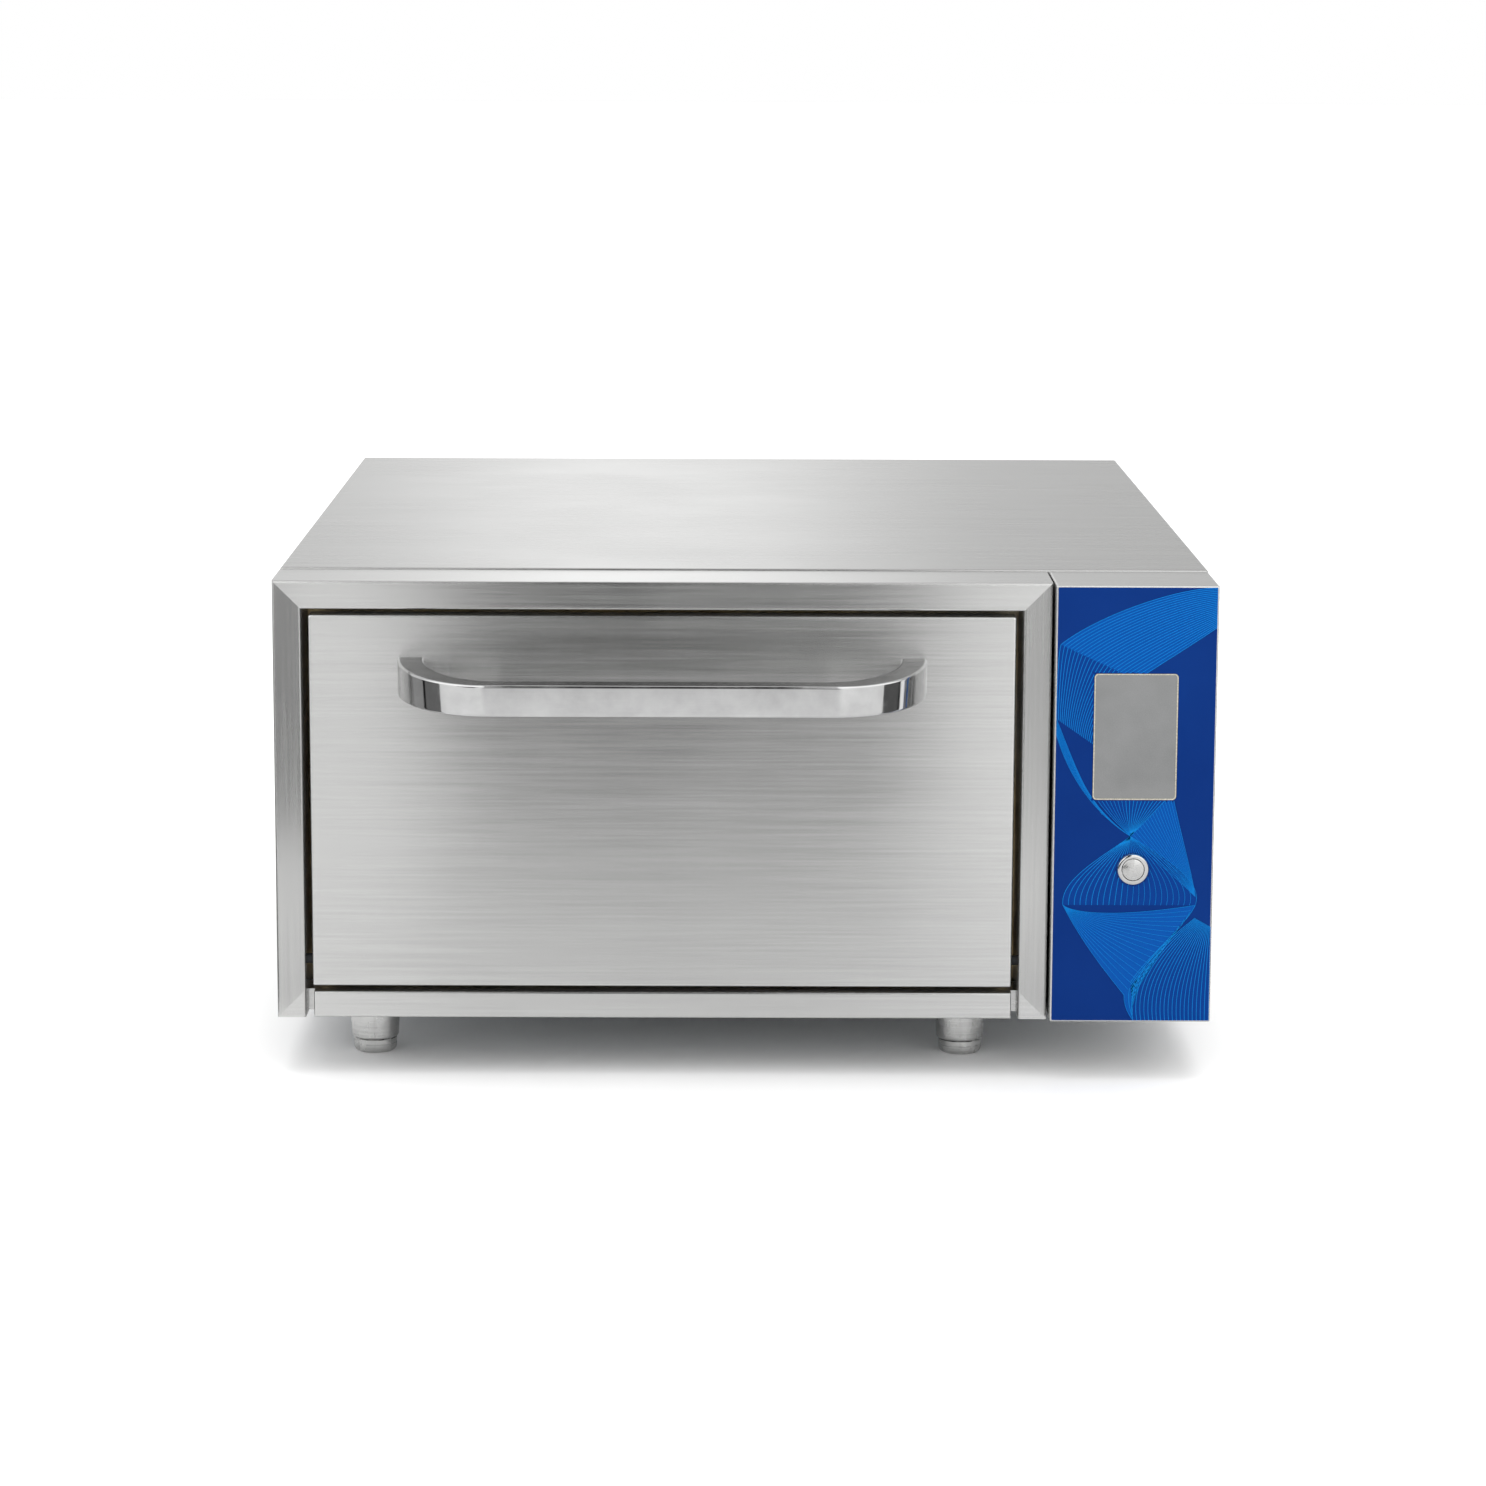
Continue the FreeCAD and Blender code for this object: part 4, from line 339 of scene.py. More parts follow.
LEG_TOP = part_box("foot_legs")[1].z - 0.013
GROOVE = 0.0012
for name in ("front_left", "rear_left", "front_right", "rear_right"):
    node = "foot_insert_" + name
    low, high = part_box(node)
    x, y = (low.x + high.x) / 2, (low.y + high.y) / 2
    pad_radius = (high.x - low.x) / 2
    leg_low = 0.012
    leg_profile = [(0.0, 0.0), (0.0204, 0.0), (0.0205, -0.0006), (0.0196, -0.0200), (0.0190, leg_low + 0.0016 - LEG_TOP), (0.0186, leg_low + 0.0006 - LEG_TOP),
                   (0.0178, leg_low - LEG_TOP), (0.00605, leg_low - LEG_TOP), (0.00605, -0.0062), (0.0, -0.0062)]
    pad_profile = [(0.0, 0.0), (pad_radius - 0.0040, 0.0), (pad_radius - 0.0024, 0.0005), (pad_radius - 0.0011, 0.0014), (pad_radius - 0.0003, 0.0027),
                   (pad_radius, 0.0042), (pad_radius, 0.0068), (pad_radius - 0.0003, 0.0070), (pad_radius - 0.0003, 0.0074), (pad_radius, 0.0076), (pad_radius, 0.0110), (pad_radius - 0.0006, 0.0116), (0.0060, 0.0116), (0.0060, high.z), (0.0, high.z)]
    leg = piece("leg_" + name, lathe("leg_" + name, leg_profile, (x, y, LEG_TOP), (0, 0, 1), 72, 16), "casing", "steel_feet", turned)
    pad = piece("foot_" + name, lathe("foot_" + name, pad_profile, (x, y, 0.0), (0, 0, 1), 72, 24), "foot_" + name[0] + name.split("_")[1][0], "steel_feet", turned)
    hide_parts(node)
    if name == "front_left":
        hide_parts("foot_legs")


# ---- Base plugs ----------------------------------------------------------------------------------------------------
# Black polyamide plugs pushed into the spare holes of the sill and the control side, seen as low domes from the front.

black_plastic, tree, shader = start_material("black_polyamide", "0d0d0e", 0.0, 0.5)
grainy = pattern(tree, (1500.0, 1500.0, 1500.0), 2.0)
tree.links.new(tint(tree, spread(tree, grainy, 0.0, 1.0), "08080a", "18181a"), shader.inputs["Base Color"])
tree.links.new(spread(tree, grainy, 0.38, 0.6), shader.inputs["Roughness"])
relief = add(tree, "ShaderNodeBump", {"Height": grainy, "Strength": 0.2, "Distance": 0.0002})
tree.links.new(relief.outputs[0], shader.inputs["Normal"])
finish(black_plastic, "base_plugs", "damper_motor", "cooling_fan_frame", "cooling_fan_impeller")


# ---- Door handle ---------------------------------------------------------------------------------------------------
# A bowed grip of solid stainless bar, bent to a quarter circle at each end and thinned towards the hand, polished bright.
# It is screwed on from inside the door skin, and its long edges are broken to a small round.

polished, tree, shader = start_material("polished_stainless", "b5b5b5", 1.0, 0.07)
haze = pattern(tree, (60.0, 60.0, 60.0), 5.0)
scratch = pattern(tree, (30.0, 900.0, 900.0), 3.0)
tree.links.new(spread(tree, haze, 0.04, 0.12), shader.inputs["Roughness"])
tree.links.new(tint(tree, spread(tree, haze, 0.0, 1.0), "adadad", "bdbdbd"), shader.inputs["Base Color"])
relief = add(tree, "ShaderNodeBump", {"Height": scratch, "Strength": 0.02, "Distance": 0.0002})
tree.links.new(relief.outputs[0], shader.inputs["Normal"])

low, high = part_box("door_handle")
middle_x = (low.x + high.x) / 2
half = (high.x - low.x) / 2
reach = high.y - low.y
face_y = high.y
grip, end_width = 0.0120, 0.0205
end_height, grip_height = 0.0288, 0.0251
drop = (high.z - low.z) - grip_height
edge = 0.0017
lean = 0.0044  # the bar lies in a sloping plane, so its face looks a little down
ARC_STEPS = 28
stations = []
for side in (-1, 1):
    arc = []
    for k in range(ARC_STEPS + 1):
        angle = math.pi / 2 * k / ARC_STEPS
        outer = Vector((side * (half - reach + reach * math.cos(angle)), -reach * math.sin(angle)))
        inner_reach = reach - grip
        inner_centre = half - end_width - inner_reach
        inner = Vector((side * (inner_centre + inner_reach * math.cos(angle)), -inner_reach * math.sin(angle)))
        arc.append((outer, inner))
    stations += arc if side < 0 else arc[::-1]
work = bmesh.new()
loops = []
for outer, inner in stations:
    out = (outer - inner).normalized()
    corners = []
    for point, way in ((outer, out), (inner, -out)):
        share = -point.y / reach
        top = high.z - drop * share
        tall = end_height + (grip_height - end_height) * share
        corners.append((point, way, top, top - tall))
    (a, way_a, top_a, low_a), (b, way_b, top_b, low_b) = corners
    quarter = [math.pi / 2 * k / 5 for k in range(6)]
    loop = []
    # a short flat either side of each rounded edge keeps the broad faces looking flat
    turns = [(-0.0006, math.sin(q), math.cos(q), 0.0) if q == quarter[0] else (0.0, math.sin(q), math.cos(q), -0.0006) for q in (quarter[0], quarter[-1])]
    bends = [turns[0]] + [(0.0, math.sin(q), math.cos(q), 0.0) for q in quarter] + [turns[1]]
    for point, way, z, first, up in ((a, way_a, top_a, 1, 1), (a, way_a, low_a, 0, -1), (b, way_b, low_b, 1, -1), (b, way_b, top_b, 0, 1)):
        for inward, across, upward, downward in (bends if first else bends[::-1]):
            height = z + up * (edge * (upward - 1) + downward)
            flat = point + way * (edge * (across - 1) + inward) - out * lean * share * (top_a - height) / (top_a - low_a)
            loop.append(work.verts.new((middle_x + flat.x, face_y + min(flat.y, 0.0), height)))
    loops.append(loop)
for before, after in zip(loops, loops[1:]):
    for k in range(len(before)):
        following = (k + 1) % len(before)
        work.faces.new((before[k], before[following], after[following], after[k]))
work.faces.new(loops[0])
work.faces.new(loops[-1][::-1])
bmesh.ops.remove_doubles(work, verts=work.verts, dist=1e-6)
bmesh.ops.recalc_face_normals(work, faces=work.faces)
for face in work.faces:
    face.smooth = True
handle_mesh = bpy.data.meshes.new("door_handle_bar")
work.to_mesh(handle_mesh)
work.free()
handle_mesh.set_sharp_from_angle(angle=math.radians(32))
handle = piece("door_handle_bar", handle_mesh, "door", "polished_steel", polished)
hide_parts("door_handle")


# ---- Push button ---------------------------------------------------------------------------------------------------
# A 22 mm anti-vandal push button: a polished ring with a chamfered rim, and inside it a flat cap that is spun on a lathe,
# so its turning marks throw the light into two fans. The ring's body passes through the overlay to a nut behind.

low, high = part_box("button_housing")
button_x, button_z = (low.x + high.x) / 2, (low.z + high.z) / 2
ring_profile = [(0.0091, 0.0), (0.0093, -0.0002), (0.0112, -0.0002), (0.0119, 0.0002), (0.0127, 0.0013), (0.0127, 0.0022), (0.0110, 0.0022), (0.0110, high.y - low.y - 0.0002),
                (0.0033, high.y - low.y - 0.0002), (0.0033, 0.0072), (0.0090, 0.0072)]
ring_profile = [(radius, max(depth, 0.0)) for radius, depth in ring_profile]
ring = piece("button_ring", lathe("button_ring", ring_profile, (button_x, low.y, button_z), (0, 1, 0), 96, 25), "casing", "polished_steel", polished)
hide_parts("button_housing")

spun, tree, shader = start_material("spun_stainless", "d0d0cf", 1.0, 0.22)
place = add(tree, "ShaderNodeTexCoord")
centred = add(tree, "ShaderNodeMapping", {"Vector": place.outputs["Object"], "Location": (-button_x, 0.0, -button_z)})
parts = add(tree, "ShaderNodeSeparateXYZ", {0: centred.outputs[0]})
flat = add(tree, "ShaderNodeCombineXYZ", {"X": parts.outputs["X"], "Z": parts.outputs["Z"]})
radius = add(tree, "ShaderNodeVectorMath", {0: flat.outputs[0]}, operation="LENGTH")
grooves = add(tree, "ShaderNodeTexNoise", {"W": radius.outputs["Value"], "Scale": 3200.0, "Detail": 2.0}, noise_dimensions="1D")
angle = add(tree, "ShaderNodeMath", {0: parts.outputs["Z"], 1: parts.outputs["X"]}, operation="ARCTAN2")
doubled = add(tree, "ShaderNodeMath", {0: angle.outputs[0], 1: 4.0}, operation="MULTIPLY")
fans = add(tree, "ShaderNodeMath", {0: doubled.outputs[0]}, operation="SINE")
tree.links.new(tint(tree, spread(tree, grooves.outputs["Fac"], 0.0, 1.0), "9c9c9b", "c8c8c7"), shader.inputs["Base Color"])
tree.links.new(spread(tree, fans.outputs[0], 0.14, 0.38, -1.0, 1.0), shader.inputs["Roughness"])
relief = add(tree, "ShaderNodeBump", {"Height": grooves.outputs["Fac"], "Strength": 0.25, "Distance": 0.0001})
tree.links.new(relief.outputs[0], shader.inputs["Normal"])
low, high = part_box("button_cap")
depth = high.y - low.y
cap_profile = [(0.0, 0.0), (0.0078, 0.0), (0.0085, 0.0002), (0.0088, 0.0007), (0.0088, 0.0038), (0.0030, 0.0038), (0.0030, depth), (0.0, depth)]
cap = piece("button_spun_cap", lathe("button_spun_cap", cap_profile, (button_x, low.y, button_z), (0, 1, 0), 96), "button", "polished_steel", spun)
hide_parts("button_cap")


# ---- Control overlay -----------------------------------------------------------------------------------------------
# A polyester film printed from behind and glued to the control box's face: a navy ground crossed by broad ribbons, each
# drawn as a sheaf of fine lines between two curves. The ribbons are plain decoration, made up for this oven.

film, tree, shader = start_material("printed_polyester_film", "04347d", 0.0, 0.5, IOR=1.5, Specular_IOR_Level=0.06)
wash = pattern(tree, (7.0, 7.0, 7.0), 3.0)
texture = pattern(tree, (2600.0, 2600.0, 2600.0), 2.0)
tree.links.new(tint(tree, spread(tree, wash, 0.0, 1.0), "01286a", "042e72"), shader.inputs["Base Color"])
tree.links.new(spread(tree, texture, 0.42, 0.55), shader.inputs["Roughness"])
relief = add(tree, "ShaderNodeBump", {"Height": texture, "Strength": 0.12, "Distance": 0.0001})
tree.links.new(relief.outputs[0], shader.inputs["Normal"])
finish(film, "control_overlay")


def ink(name, dark, light):
    """Printed ink, a little uneven from the screen's mesh."""
    material, tree, shader = start_material(name, light, 0.0, 0.45, IOR=1.5, Specular_IOR_Level=0.06)
    mesh_print = pattern(tree, (1700.0, 1700.0, 1700.0), 2.0)
    tree.links.new(tint(tree, spread(tree, mesh_print, 0.0, 1.0), dark, light), shader.inputs["Base Color"])
    tree.links.new(spread(tree, mesh_print, 0.3, 0.45), shader.inputs["Roughness"])
    return material


line_ink = ink("bright_blue_ink", "0876c2", "1080ce")
mid_ink = ink("mid_blue_ink", "003078", "023882")
pale_ink = ink("light_blue_ink", "004694", "024e9e")

low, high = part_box("control_overlay")
film_y = low.y
film_width = high.x - low.x
film_height = high.z - low.z


def on_film(u, v, lift):
    """Point on the film: u across and v up, each from 0 to 1."""
    return Vector((low.x + u * film_width, film_y - lift, low.z + v * film_height))


def bend(edge, s):
    """Point at share s of a curve with four control points."""
    weights = ((1 - s) ** 3, 3 * s * (1 - s) ** 2, 3 * s * s * (1 - s), s ** 3)
    return tuple(sum(w * p[k] for w, p in zip(weights, edge)) for k in (0, 1))


sheaf, given = new_tree("line_sheaf", *[(side + str(k), "Vector") for side in "AB" for k in range(4)], ("Lines", "Int"), ("Line Radius", "Float"), ("Ink", "Material"))
edges = []
for side in "AB":
    ends = {"Start": given.outputs[side + "0"], "Start Handle": given.outputs[side + "1"], "End Handle": given.outputs[side + "2"], "End": given.outputs[side + "3"]}
    curve = add(sheaf, "GeometryNodeCurvePrimitiveBezierSegment", {"Resolution": 64, **ends})
    edges.append(add(sheaf, "GeometryNodeResampleCurve", {"Curve": curve.outputs[0], "Count": 56}))
copies = add(sheaf, "GeometryNodeDuplicateElements", {"Geometry": edges[0].outputs[0], "Amount": given.outputs["Lines"]}, domain="SPLINE")
along = add(sheaf, "GeometryNodeSplineParameter")
other = add(sheaf, "GeometryNodeSampleCurve", {"Curves": edges[1].outputs[0], "Factor": along.outputs["Factor"]})
last = add(sheaf, "ShaderNodeMath", {0: given.outputs["Lines"], 1: 1.0}, operation="SUBTRACT")
share = add(sheaf, "ShaderNodeMath", {0: copies.outputs["Duplicate Index"], 1: last.outputs[0]}, operation="DIVIDE")
here = add(sheaf, "GeometryNodeInputPosition")
between = add(sheaf, "ShaderNodeMix", {0: share.outputs[0], 4: here.outputs[0], 5: other.outputs["Position"]}, data_type="VECTOR")
fanned = add(sheaf, "GeometryNodeSetPosition", {"Geometry": copies.outputs[0], "Position": between.outputs[1]})
thread = add(sheaf, "GeometryNodeCurvePrimitiveCircle", {"Resolution": 3, "Radius": given.outputs["Line Radius"]})
drawn = add(sheaf, "GeometryNodeCurveToMesh", {"Curve": fanned.outputs[0], "Profile Curve": thread.outputs[0]})
close_tree(sheaf, drawn.outputs[0], given.outputs["Ink"])

window_low, window_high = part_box("display_lens")
gap = 0.0008
# each ribbon: two edge curves on the film, the fill behind the lines, and how many lines
ribbons = [
    (((1.0, 1.0), (0.72, 1.0), (0.22, 0.93), (0.02, 0.87)), ((1.0, 0.91), (0.80, 0.86), (0.62, 0.82), (0.50, 0.79)), pale_ink, 24),
    (((0.02, 0.87), (0.0, 0.84), (0.0, 0.74), (0.0, 0.70)), ((0.50, 0.79), (0.40, 0.76), (0.26, 0.70), (0.24, 0.64)), mid_ink, 22),
    (((0.0, 0.70), (0.08, 0.63), (0.17, 0.54), (0.30, 0.48)), ((0.0, 0.665), (0.07, 0.58), (0.22, 0.49), (0.48, 0.43)), pale_ink, 11),
    (((0.74, 0.53), (0.66, 0.50), (0.56, 0.46), (0.48, 0.43)), ((0.24, 0.53), (0.30, 0.49), (0.40, 0.46), (0.48, 0.43)), mid_ink, 18),
    (((0.74, 0.53), (0.80, 0.43), (0.88, 0.34), (0.90, 0.29)), ((0.48, 0.43), (0.58, 0.39), (0.76, 0.34), (0.90, 0.29)), pale_ink, 18),
    (((0.48, 0.43), (0.30, 0.38), (0.04, 0.33), (0.06, 0.27)), ((0.48, 0.43), (0.66, 0.39), (0.96, 0.33), (0.90, 0.27)), mid_ink, 24),
    (((0.06, 0.27), (0.12, 0.25), (0.40, 0.24), (0.90, 0.27)), ((0.06, 0.27), (0.16, 0.20), (0.30, 0.13), (0.46, 0.06)), pale_ink, 18),
    (((0.90, 0.27), (0.84, 0.22), (0.60, 0.15), (0.50, 0.09)), ((0.46, 0.06), (0.46, 0.05), (0.46, 0.03), (0.52, 0.0)), pale_ink, 14),
    (((0.90, 0.24), (0.70, 0.18), (0.46, 0.11), (0.52, 0.0)), ((1.0, 0.22), (1.0, 0.15), (1.0, 0.07), (1.0, 0.0)), mid_ink, 20),
]
fills = {mid_ink: bmesh.new(), pale_ink: bmesh.new()}
threads = []


def hidden(point):
    """True where the display's window or the button would cut the print."""
    inside = window_low.x - gap < point.x < window_high.x + gap and window_low.z - gap < point.z < window_high.z + gap
    return inside or math.hypot(point.x - button_x, point.z - button_z) < 0.0132


def trimmed(work):
    """Leaves out the faces of a flat print that lie in the window or under the button."""
    doomed = [f for f in work.faces if hidden(f.calc_center_median())]
    bmesh.ops.delete(work, geom=doomed, context="FACES")


for order, (upper, lower, fill, lines) in enumerate(ribbons):
    work = fills[fill]
    lift = 0.00003 + 0.000012 * order
    grid = []
    for k in range(49):
        s = k / 48
        a, b = on_film(*bend(upper, s), lift), on_film(*bend(lower, s), lift)
        grid.append([work.verts.new(a.lerp(b, m / 24)) for m in range(25)])
    for before, after in zip(grid, grid[1:]):
        for k in range(24):
            work.faces.new((before[k], after[k], after[k + 1], before[k + 1]))
    values = {"A" + str(k): on_film(*upper[k], lift + 0.00004) for k in range(4)}
    values.update({"B" + str(k): on_film(*lower[k], lift + 0.00004) for k in range(4)})
    threads.append(grow(sheaf, "ribbon_lines", {**values, "Lines": lines, "Line Radius": 0.00026, "Ink": line_ink}))

for number, (fill, work) in enumerate(fills.items()):
    trimmed(work)
    for face in work.faces:
        face.normal_update()
        if face.normal.y > 0:
            face.normal_flip()
    mesh = bpy.data.meshes.new("ribbon_fill")
    work.to_mesh(mesh)
    work.free()
    piece("ribbon_fill_" + str(number + 1), mesh, "casing", "overlay_film", fill)
lines_mesh = joined("ribbon_lines", threads)
work = bmesh.new()
work.from_mesh(lines_mesh)
trimmed(work)
work.to_mesh(lines_mesh)
work.free()
piece("ribbon_line_print", lines_mesh, "casing", "overlay_film", line_ink)


# ---- Display -------------------------------------------------------------------------------------------------------
# An unlit touch display behind a hard-coated acrylic window, matt grey with a faint sparkle from its anti-glare
# etching, and a thin pale band where the window's chamfer shows in the cut-out of the film, drawn as a painted
# highlight.

glare, tree, shader = start_material("etched_acrylic_window", "939494", 0.0, 0.42, IOR=1.49)
sparkle = pattern(tree, (1400.0, 1400.0, 1400.0), 3.0)
cloud = pattern(tree, (18.0, 18.0, 18.0), 3.0)
mixed = add(tree, "ShaderNodeMath", {0: sparkle, 1: cloud}, operation="ADD").outputs[0]
tree.links.new(tint(tree, spread(tree, mixed, 0.0, 1.0, 0.7, 1.3), "6b6c6c", "7e7f7f"), shader.inputs["Base Color"])
tree.links.new(spread(tree, sparkle, 0.34, 0.5), shader.inputs["Roughness"])
finish(glare, "display_lens")

# the chamfer's band is coloured pale: a painted highlight along the window's edge
rim_highlight_material, tree, shader = start_material("acrylic_edge_painted_highlight", "b9b3a2", 0.0, 0.25, IOR=1.49)
cut = pattern(tree, (700.0, 700.0, 700.0), 2.0)
tree.links.new(tint(tree, spread(tree, cut, 0.0, 1.0), "9e9a8c", "c8c2b0"), shader.inputs["Base Color"])
tree.links.new(spread(tree, cut, 0.2, 0.35), shader.inputs["Roughness"])


def rounded_outline(low, high, corner, grow_by, steps=6):
    """Corner points of a rounded rectangle in x and z, going round once."""
    points = []
    radius = corner + grow_by
    for cx, cz, start in ((high.x - corner, high.z - corner, 0), (low.x + corner, high.z - corner, 90), (low.x + corner, low.z + corner, 180), (high.x - corner, low.z + corner, 270)):
        for k in range(steps + 1):
            angle = math.radians(start + 90 * k / steps)
            points.append((cx + radius * math.cos(angle), cz + radius * math.sin(angle)))
    return points


work = bmesh.new()
section = ((-0.0010, 0.00002), (-0.0008, 0.00022), (-0.0002, 0.00030), (0.0, 0.00022), (0.0, 0.00002))
loops = []
for offset, lift in section:
    loops.append([work.verts.new((x, window_low.y - lift, z)) for x, z in rounded_outline(window_low, window_high, 0.003, offset)])
for before, after in zip(loops, loops[1:] + loops[:1]):
    for k in range(len(before)):
        following = (k + 1) % len(before)
        work.faces.new((before[k], before[following], after[following], after[k]))
bmesh.ops.recalc_face_normals(work, faces=work.faces)
for face in work.faces:
    face.smooth = True
rim_mesh = bpy.data.meshes.new("display_rim")
work.to_mesh(rim_mesh)
work.free()
piece("display_rim", rim_mesh, "casing", "display_cover", rim_highlight_material)


# ---- Baking chamber ------------------------------------------------------------------------------------------------
# The liner, mouth plate, rails, hangers and the door's inner tray are plain stainless sheet that has been heated many
# times, so it is straw to bronze where it gets hottest and a little dull everywhere.

heated, tree, shader = start_material("heat_tinted_stainless", "a59c8c", 1.0, 0.38)
heat = pattern(tree, (4.0, 4.0, 6.0), 4.0, 0.6)
roll = pattern(tree, (2.5, 700.0, 700.0), 3.0)
blotch = pattern(tree, (30.0, 30.0, 30.0), 5.0)
tone = add(tree, "ShaderNodeValToRGB", {0: spread(tree, heat, 0.0, 1.0)})
tone.color_ramp.elements[0].color = linear("b5b3ae")
tone.color_ramp.elements[1].color = linear("8e7350")
straw = tone.color_ramp.elements.new(0.55)
straw.color = linear("b3a17c")
tree.links.new(tone.outputs["Color"], shader.inputs["Base Color"])
dull = add(tree, "ShaderNodeMath", {0: spread(tree, roll, 0.24, 0.36), 1: spread(tree, blotch, 0.0, 0.16)}, operation="ADD")
tree.links.new(dull.outputs[0], shader.inputs["Roughness"])
relief = add(tree, "ShaderNodeBump", {"Height": roll, "Strength": 0.06, "Distance": 0.0003})
tree.links.new(relief.outputs[0], shader.inputs["Normal"])
finish(heated, "mouth_plate", "chamber_liner", "stone_rails", "element_hangers", "door_inner_panel", "temperature_probe")

# Hearth stone: cast cordierite, pale buff with darker grog and scorched patches where dough has lain.
stone, tree, shader = start_material("cast_cordierite", "c9b592", 0.0, 0.9)
grog = pattern(tree, (650.0, 650.0, 650.0), 4.0, 0.75)
scorch = pattern(tree, (9.0, 9.0, 9.0), 4.0, 0.6)
cast = tint(tree, spread(tree, grog, 0.0, 1.0), "a8906b", "d6c5a6")
burnt = add(tree, "ShaderNodeMix", {0: spread(tree, scorch, 0.0, 0.75, 0.5, 0.8), 6: cast, 7: linear("6f5334")}, data_type="RGBA")
tree.links.new(burnt.outputs[2], shader.inputs["Base Color"])
tree.links.new(spread(tree, grog, 0.8, 0.97), shader.inputs["Roughness"])
relief = add(tree, "ShaderNodeBump", {"Height": grog, "Strength": 0.5, "Distance": 0.0006})
tree.links.new(relief.outputs[0], shader.inputs["Normal"])
finish(stone, "hearth_stone")


# ---- Heating elements ----------------------------------------------------------------------------------------------
# Hairpins of 8 mm nickel-alloy tube filled with magnesia, bent once at the front and passed out through the rear wall.
# The sheath goes matt brown-black in use, with paler rubbed spots at the hangers.

sheath, tree, shader = start_material("oxidised_alloy_sheath", "3a332d", 0.85, 0.6)
scale_marks = pattern(tree, (260.0, 60.0, 260.0), 4.0, 0.7)
tree.links.new(tint(tree, spread(tree, scale_marks, 0.0, 1.0), "2a2521", "5a5048"), shader.inputs["Base Color"])
tree.links.new(spread(tree, scale_marks, 0.45, 0.75), shader.inputs["Roughness"])
relief = add(tree, "ShaderNodeBump", {"Height": scale_marks, "Strength": 0.25, "Distance": 0.0003})
tree.links.new(relief.outputs[0], shader.inputs["Normal"])

hairpins, given = new_tree("hairpins", ("Count", "Int"), ("Pitch", "Float"), ("Leg Gap", "Float"), ("Length", "Float"), ("Tube Radius", "Float"), ("Start", "Vector"), ("Finish", "Material"))
radius = add(hairpins, "ShaderNodeMath", {0: given.outputs["Leg Gap"], 1: 0.5}, operation="MULTIPLY").outputs[0]
straight = add(hairpins, "ShaderNodeMath", {0: given.outputs["Length"], 1: radius}, operation="SUBTRACT").outputs[0]
bow = add(hairpins, "GeometryNodeCurveArc", {"Resolution": 24, "Radius": radius, "Start Angle": math.pi, "Sweep Angle": math.pi})
far = add(hairpins, "ShaderNodeCombineXYZ", {"Y": straight})
on_left = add(hairpins, "ShaderNodeCombineXYZ", {"X": add(hairpins, "ShaderNodeMath", {0: radius, 1: -1.0}, operation="MULTIPLY").outputs[0]})
on_right = add(hairpins, "ShaderNodeCombineXYZ", {"X": radius})
tube_circle = add(hairpins, "GeometryNodeCurvePrimitiveCircle", {"Resolution": 14, "Radius": given.outputs["Tube Radius"]})
legs = [bow.outputs["Curve"]]
for foot in (on_left, on_right):
    reach_point = add(hairpins, "ShaderNodeVectorMath", {0: foot.outputs[0], 1: far.outputs[0]}, operation="ADD")
    legs.append(add(hairpins, "GeometryNodeCurvePrimitiveLine", {"Start": foot.outputs[0], "End": reach_point.outputs[0]}).outputs[0])
together = add(hairpins, "GeometryNodeJoinGeometry")
for leg_curve in legs:
    hairpins.links.new(leg_curve, together.inputs[0])
pin = add(hairpins, "GeometryNodeCurveToMesh", {"Curve": together.outputs[0], "Profile Curve": tube_circle.outputs[0], "Fill Caps": True})
smoothed = add(hairpins, "GeometryNodeSetShadeSmooth", {"Geometry": pin.outputs[0]})
stride = add(hairpins, "ShaderNodeCombineXYZ", {"X": given.outputs["Pitch"]})
row_line = add(hairpins, "GeometryNodeMeshLine", {"Count": given.outputs["Count"], "Start Location": given.outputs["Start"], "Offset": stride.outputs[0]})
row_pins = add(hairpins, "GeometryNodeInstanceOnPoints", {"Points": row_line.outputs[0], "Instance": smoothed.outputs[0]})
close_tree(hairpins, row_pins.outputs[0], given.outputs["Finish"])
for level in ("lower", "upper"):
    low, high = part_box(level + "_heating_elements")
    tube_radius = (high.z - low.z) / 2
    leg_gap, pitch = 0.060, 0.140
    start = (low.x + tube_radius + leg_gap / 2, low.y + tube_radius + leg_gap / 2, (low.z + high.z) / 2)
    values = {"Count": 3, "Pitch": pitch, "Leg Gap": leg_gap, "Length": high.y - low.y - tube_radius, "Tube Radius": tube_radius - 0.00005, "Start": start, "Finish": sheath}
    made = piece(level + "_hairpins", grow(hairpins, level + "_hairpins", values), "casing", "element_sheath", sheath)
    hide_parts(level + "_heating_elements")


# ---- Insulation, seal and wiring -----------------------------------------------------------------------------------
# Mineral-wool slabs pack the space round the chamber and inside the door. A braided glass-yarn seal is clipped round the
# mouth, and silicone-sheathed leads run from the board to the display, the contactors and the rear.

wool, tree, shader = start_material("mineral_wool", "cdbb8a", 0.0, 0.95)
fibre = pattern(tree, (900.0, 900.0, 120.0), 5.0, 0.8)
tree.links.new(tint(tree, spread(tree, fibre, 0.0, 1.0), "a08f5f", "dccfa4"), shader.inputs["Base Color"])
tree.links.new(spread(tree, fibre, 0.85, 1.0), shader.inputs["Roughness"])
relief = add(tree, "ShaderNodeBump", {"Height": fibre, "Strength": 0.8, "Distance": 0.002})
tree.links.new(relief.outputs[0], shader.inputs["Normal"])
finish(wool, "chamber_insulation", "door_insulation")

braid, tree, shader = start_material("braided_glass_yarn", "6b6963", 0.0, 0.85)
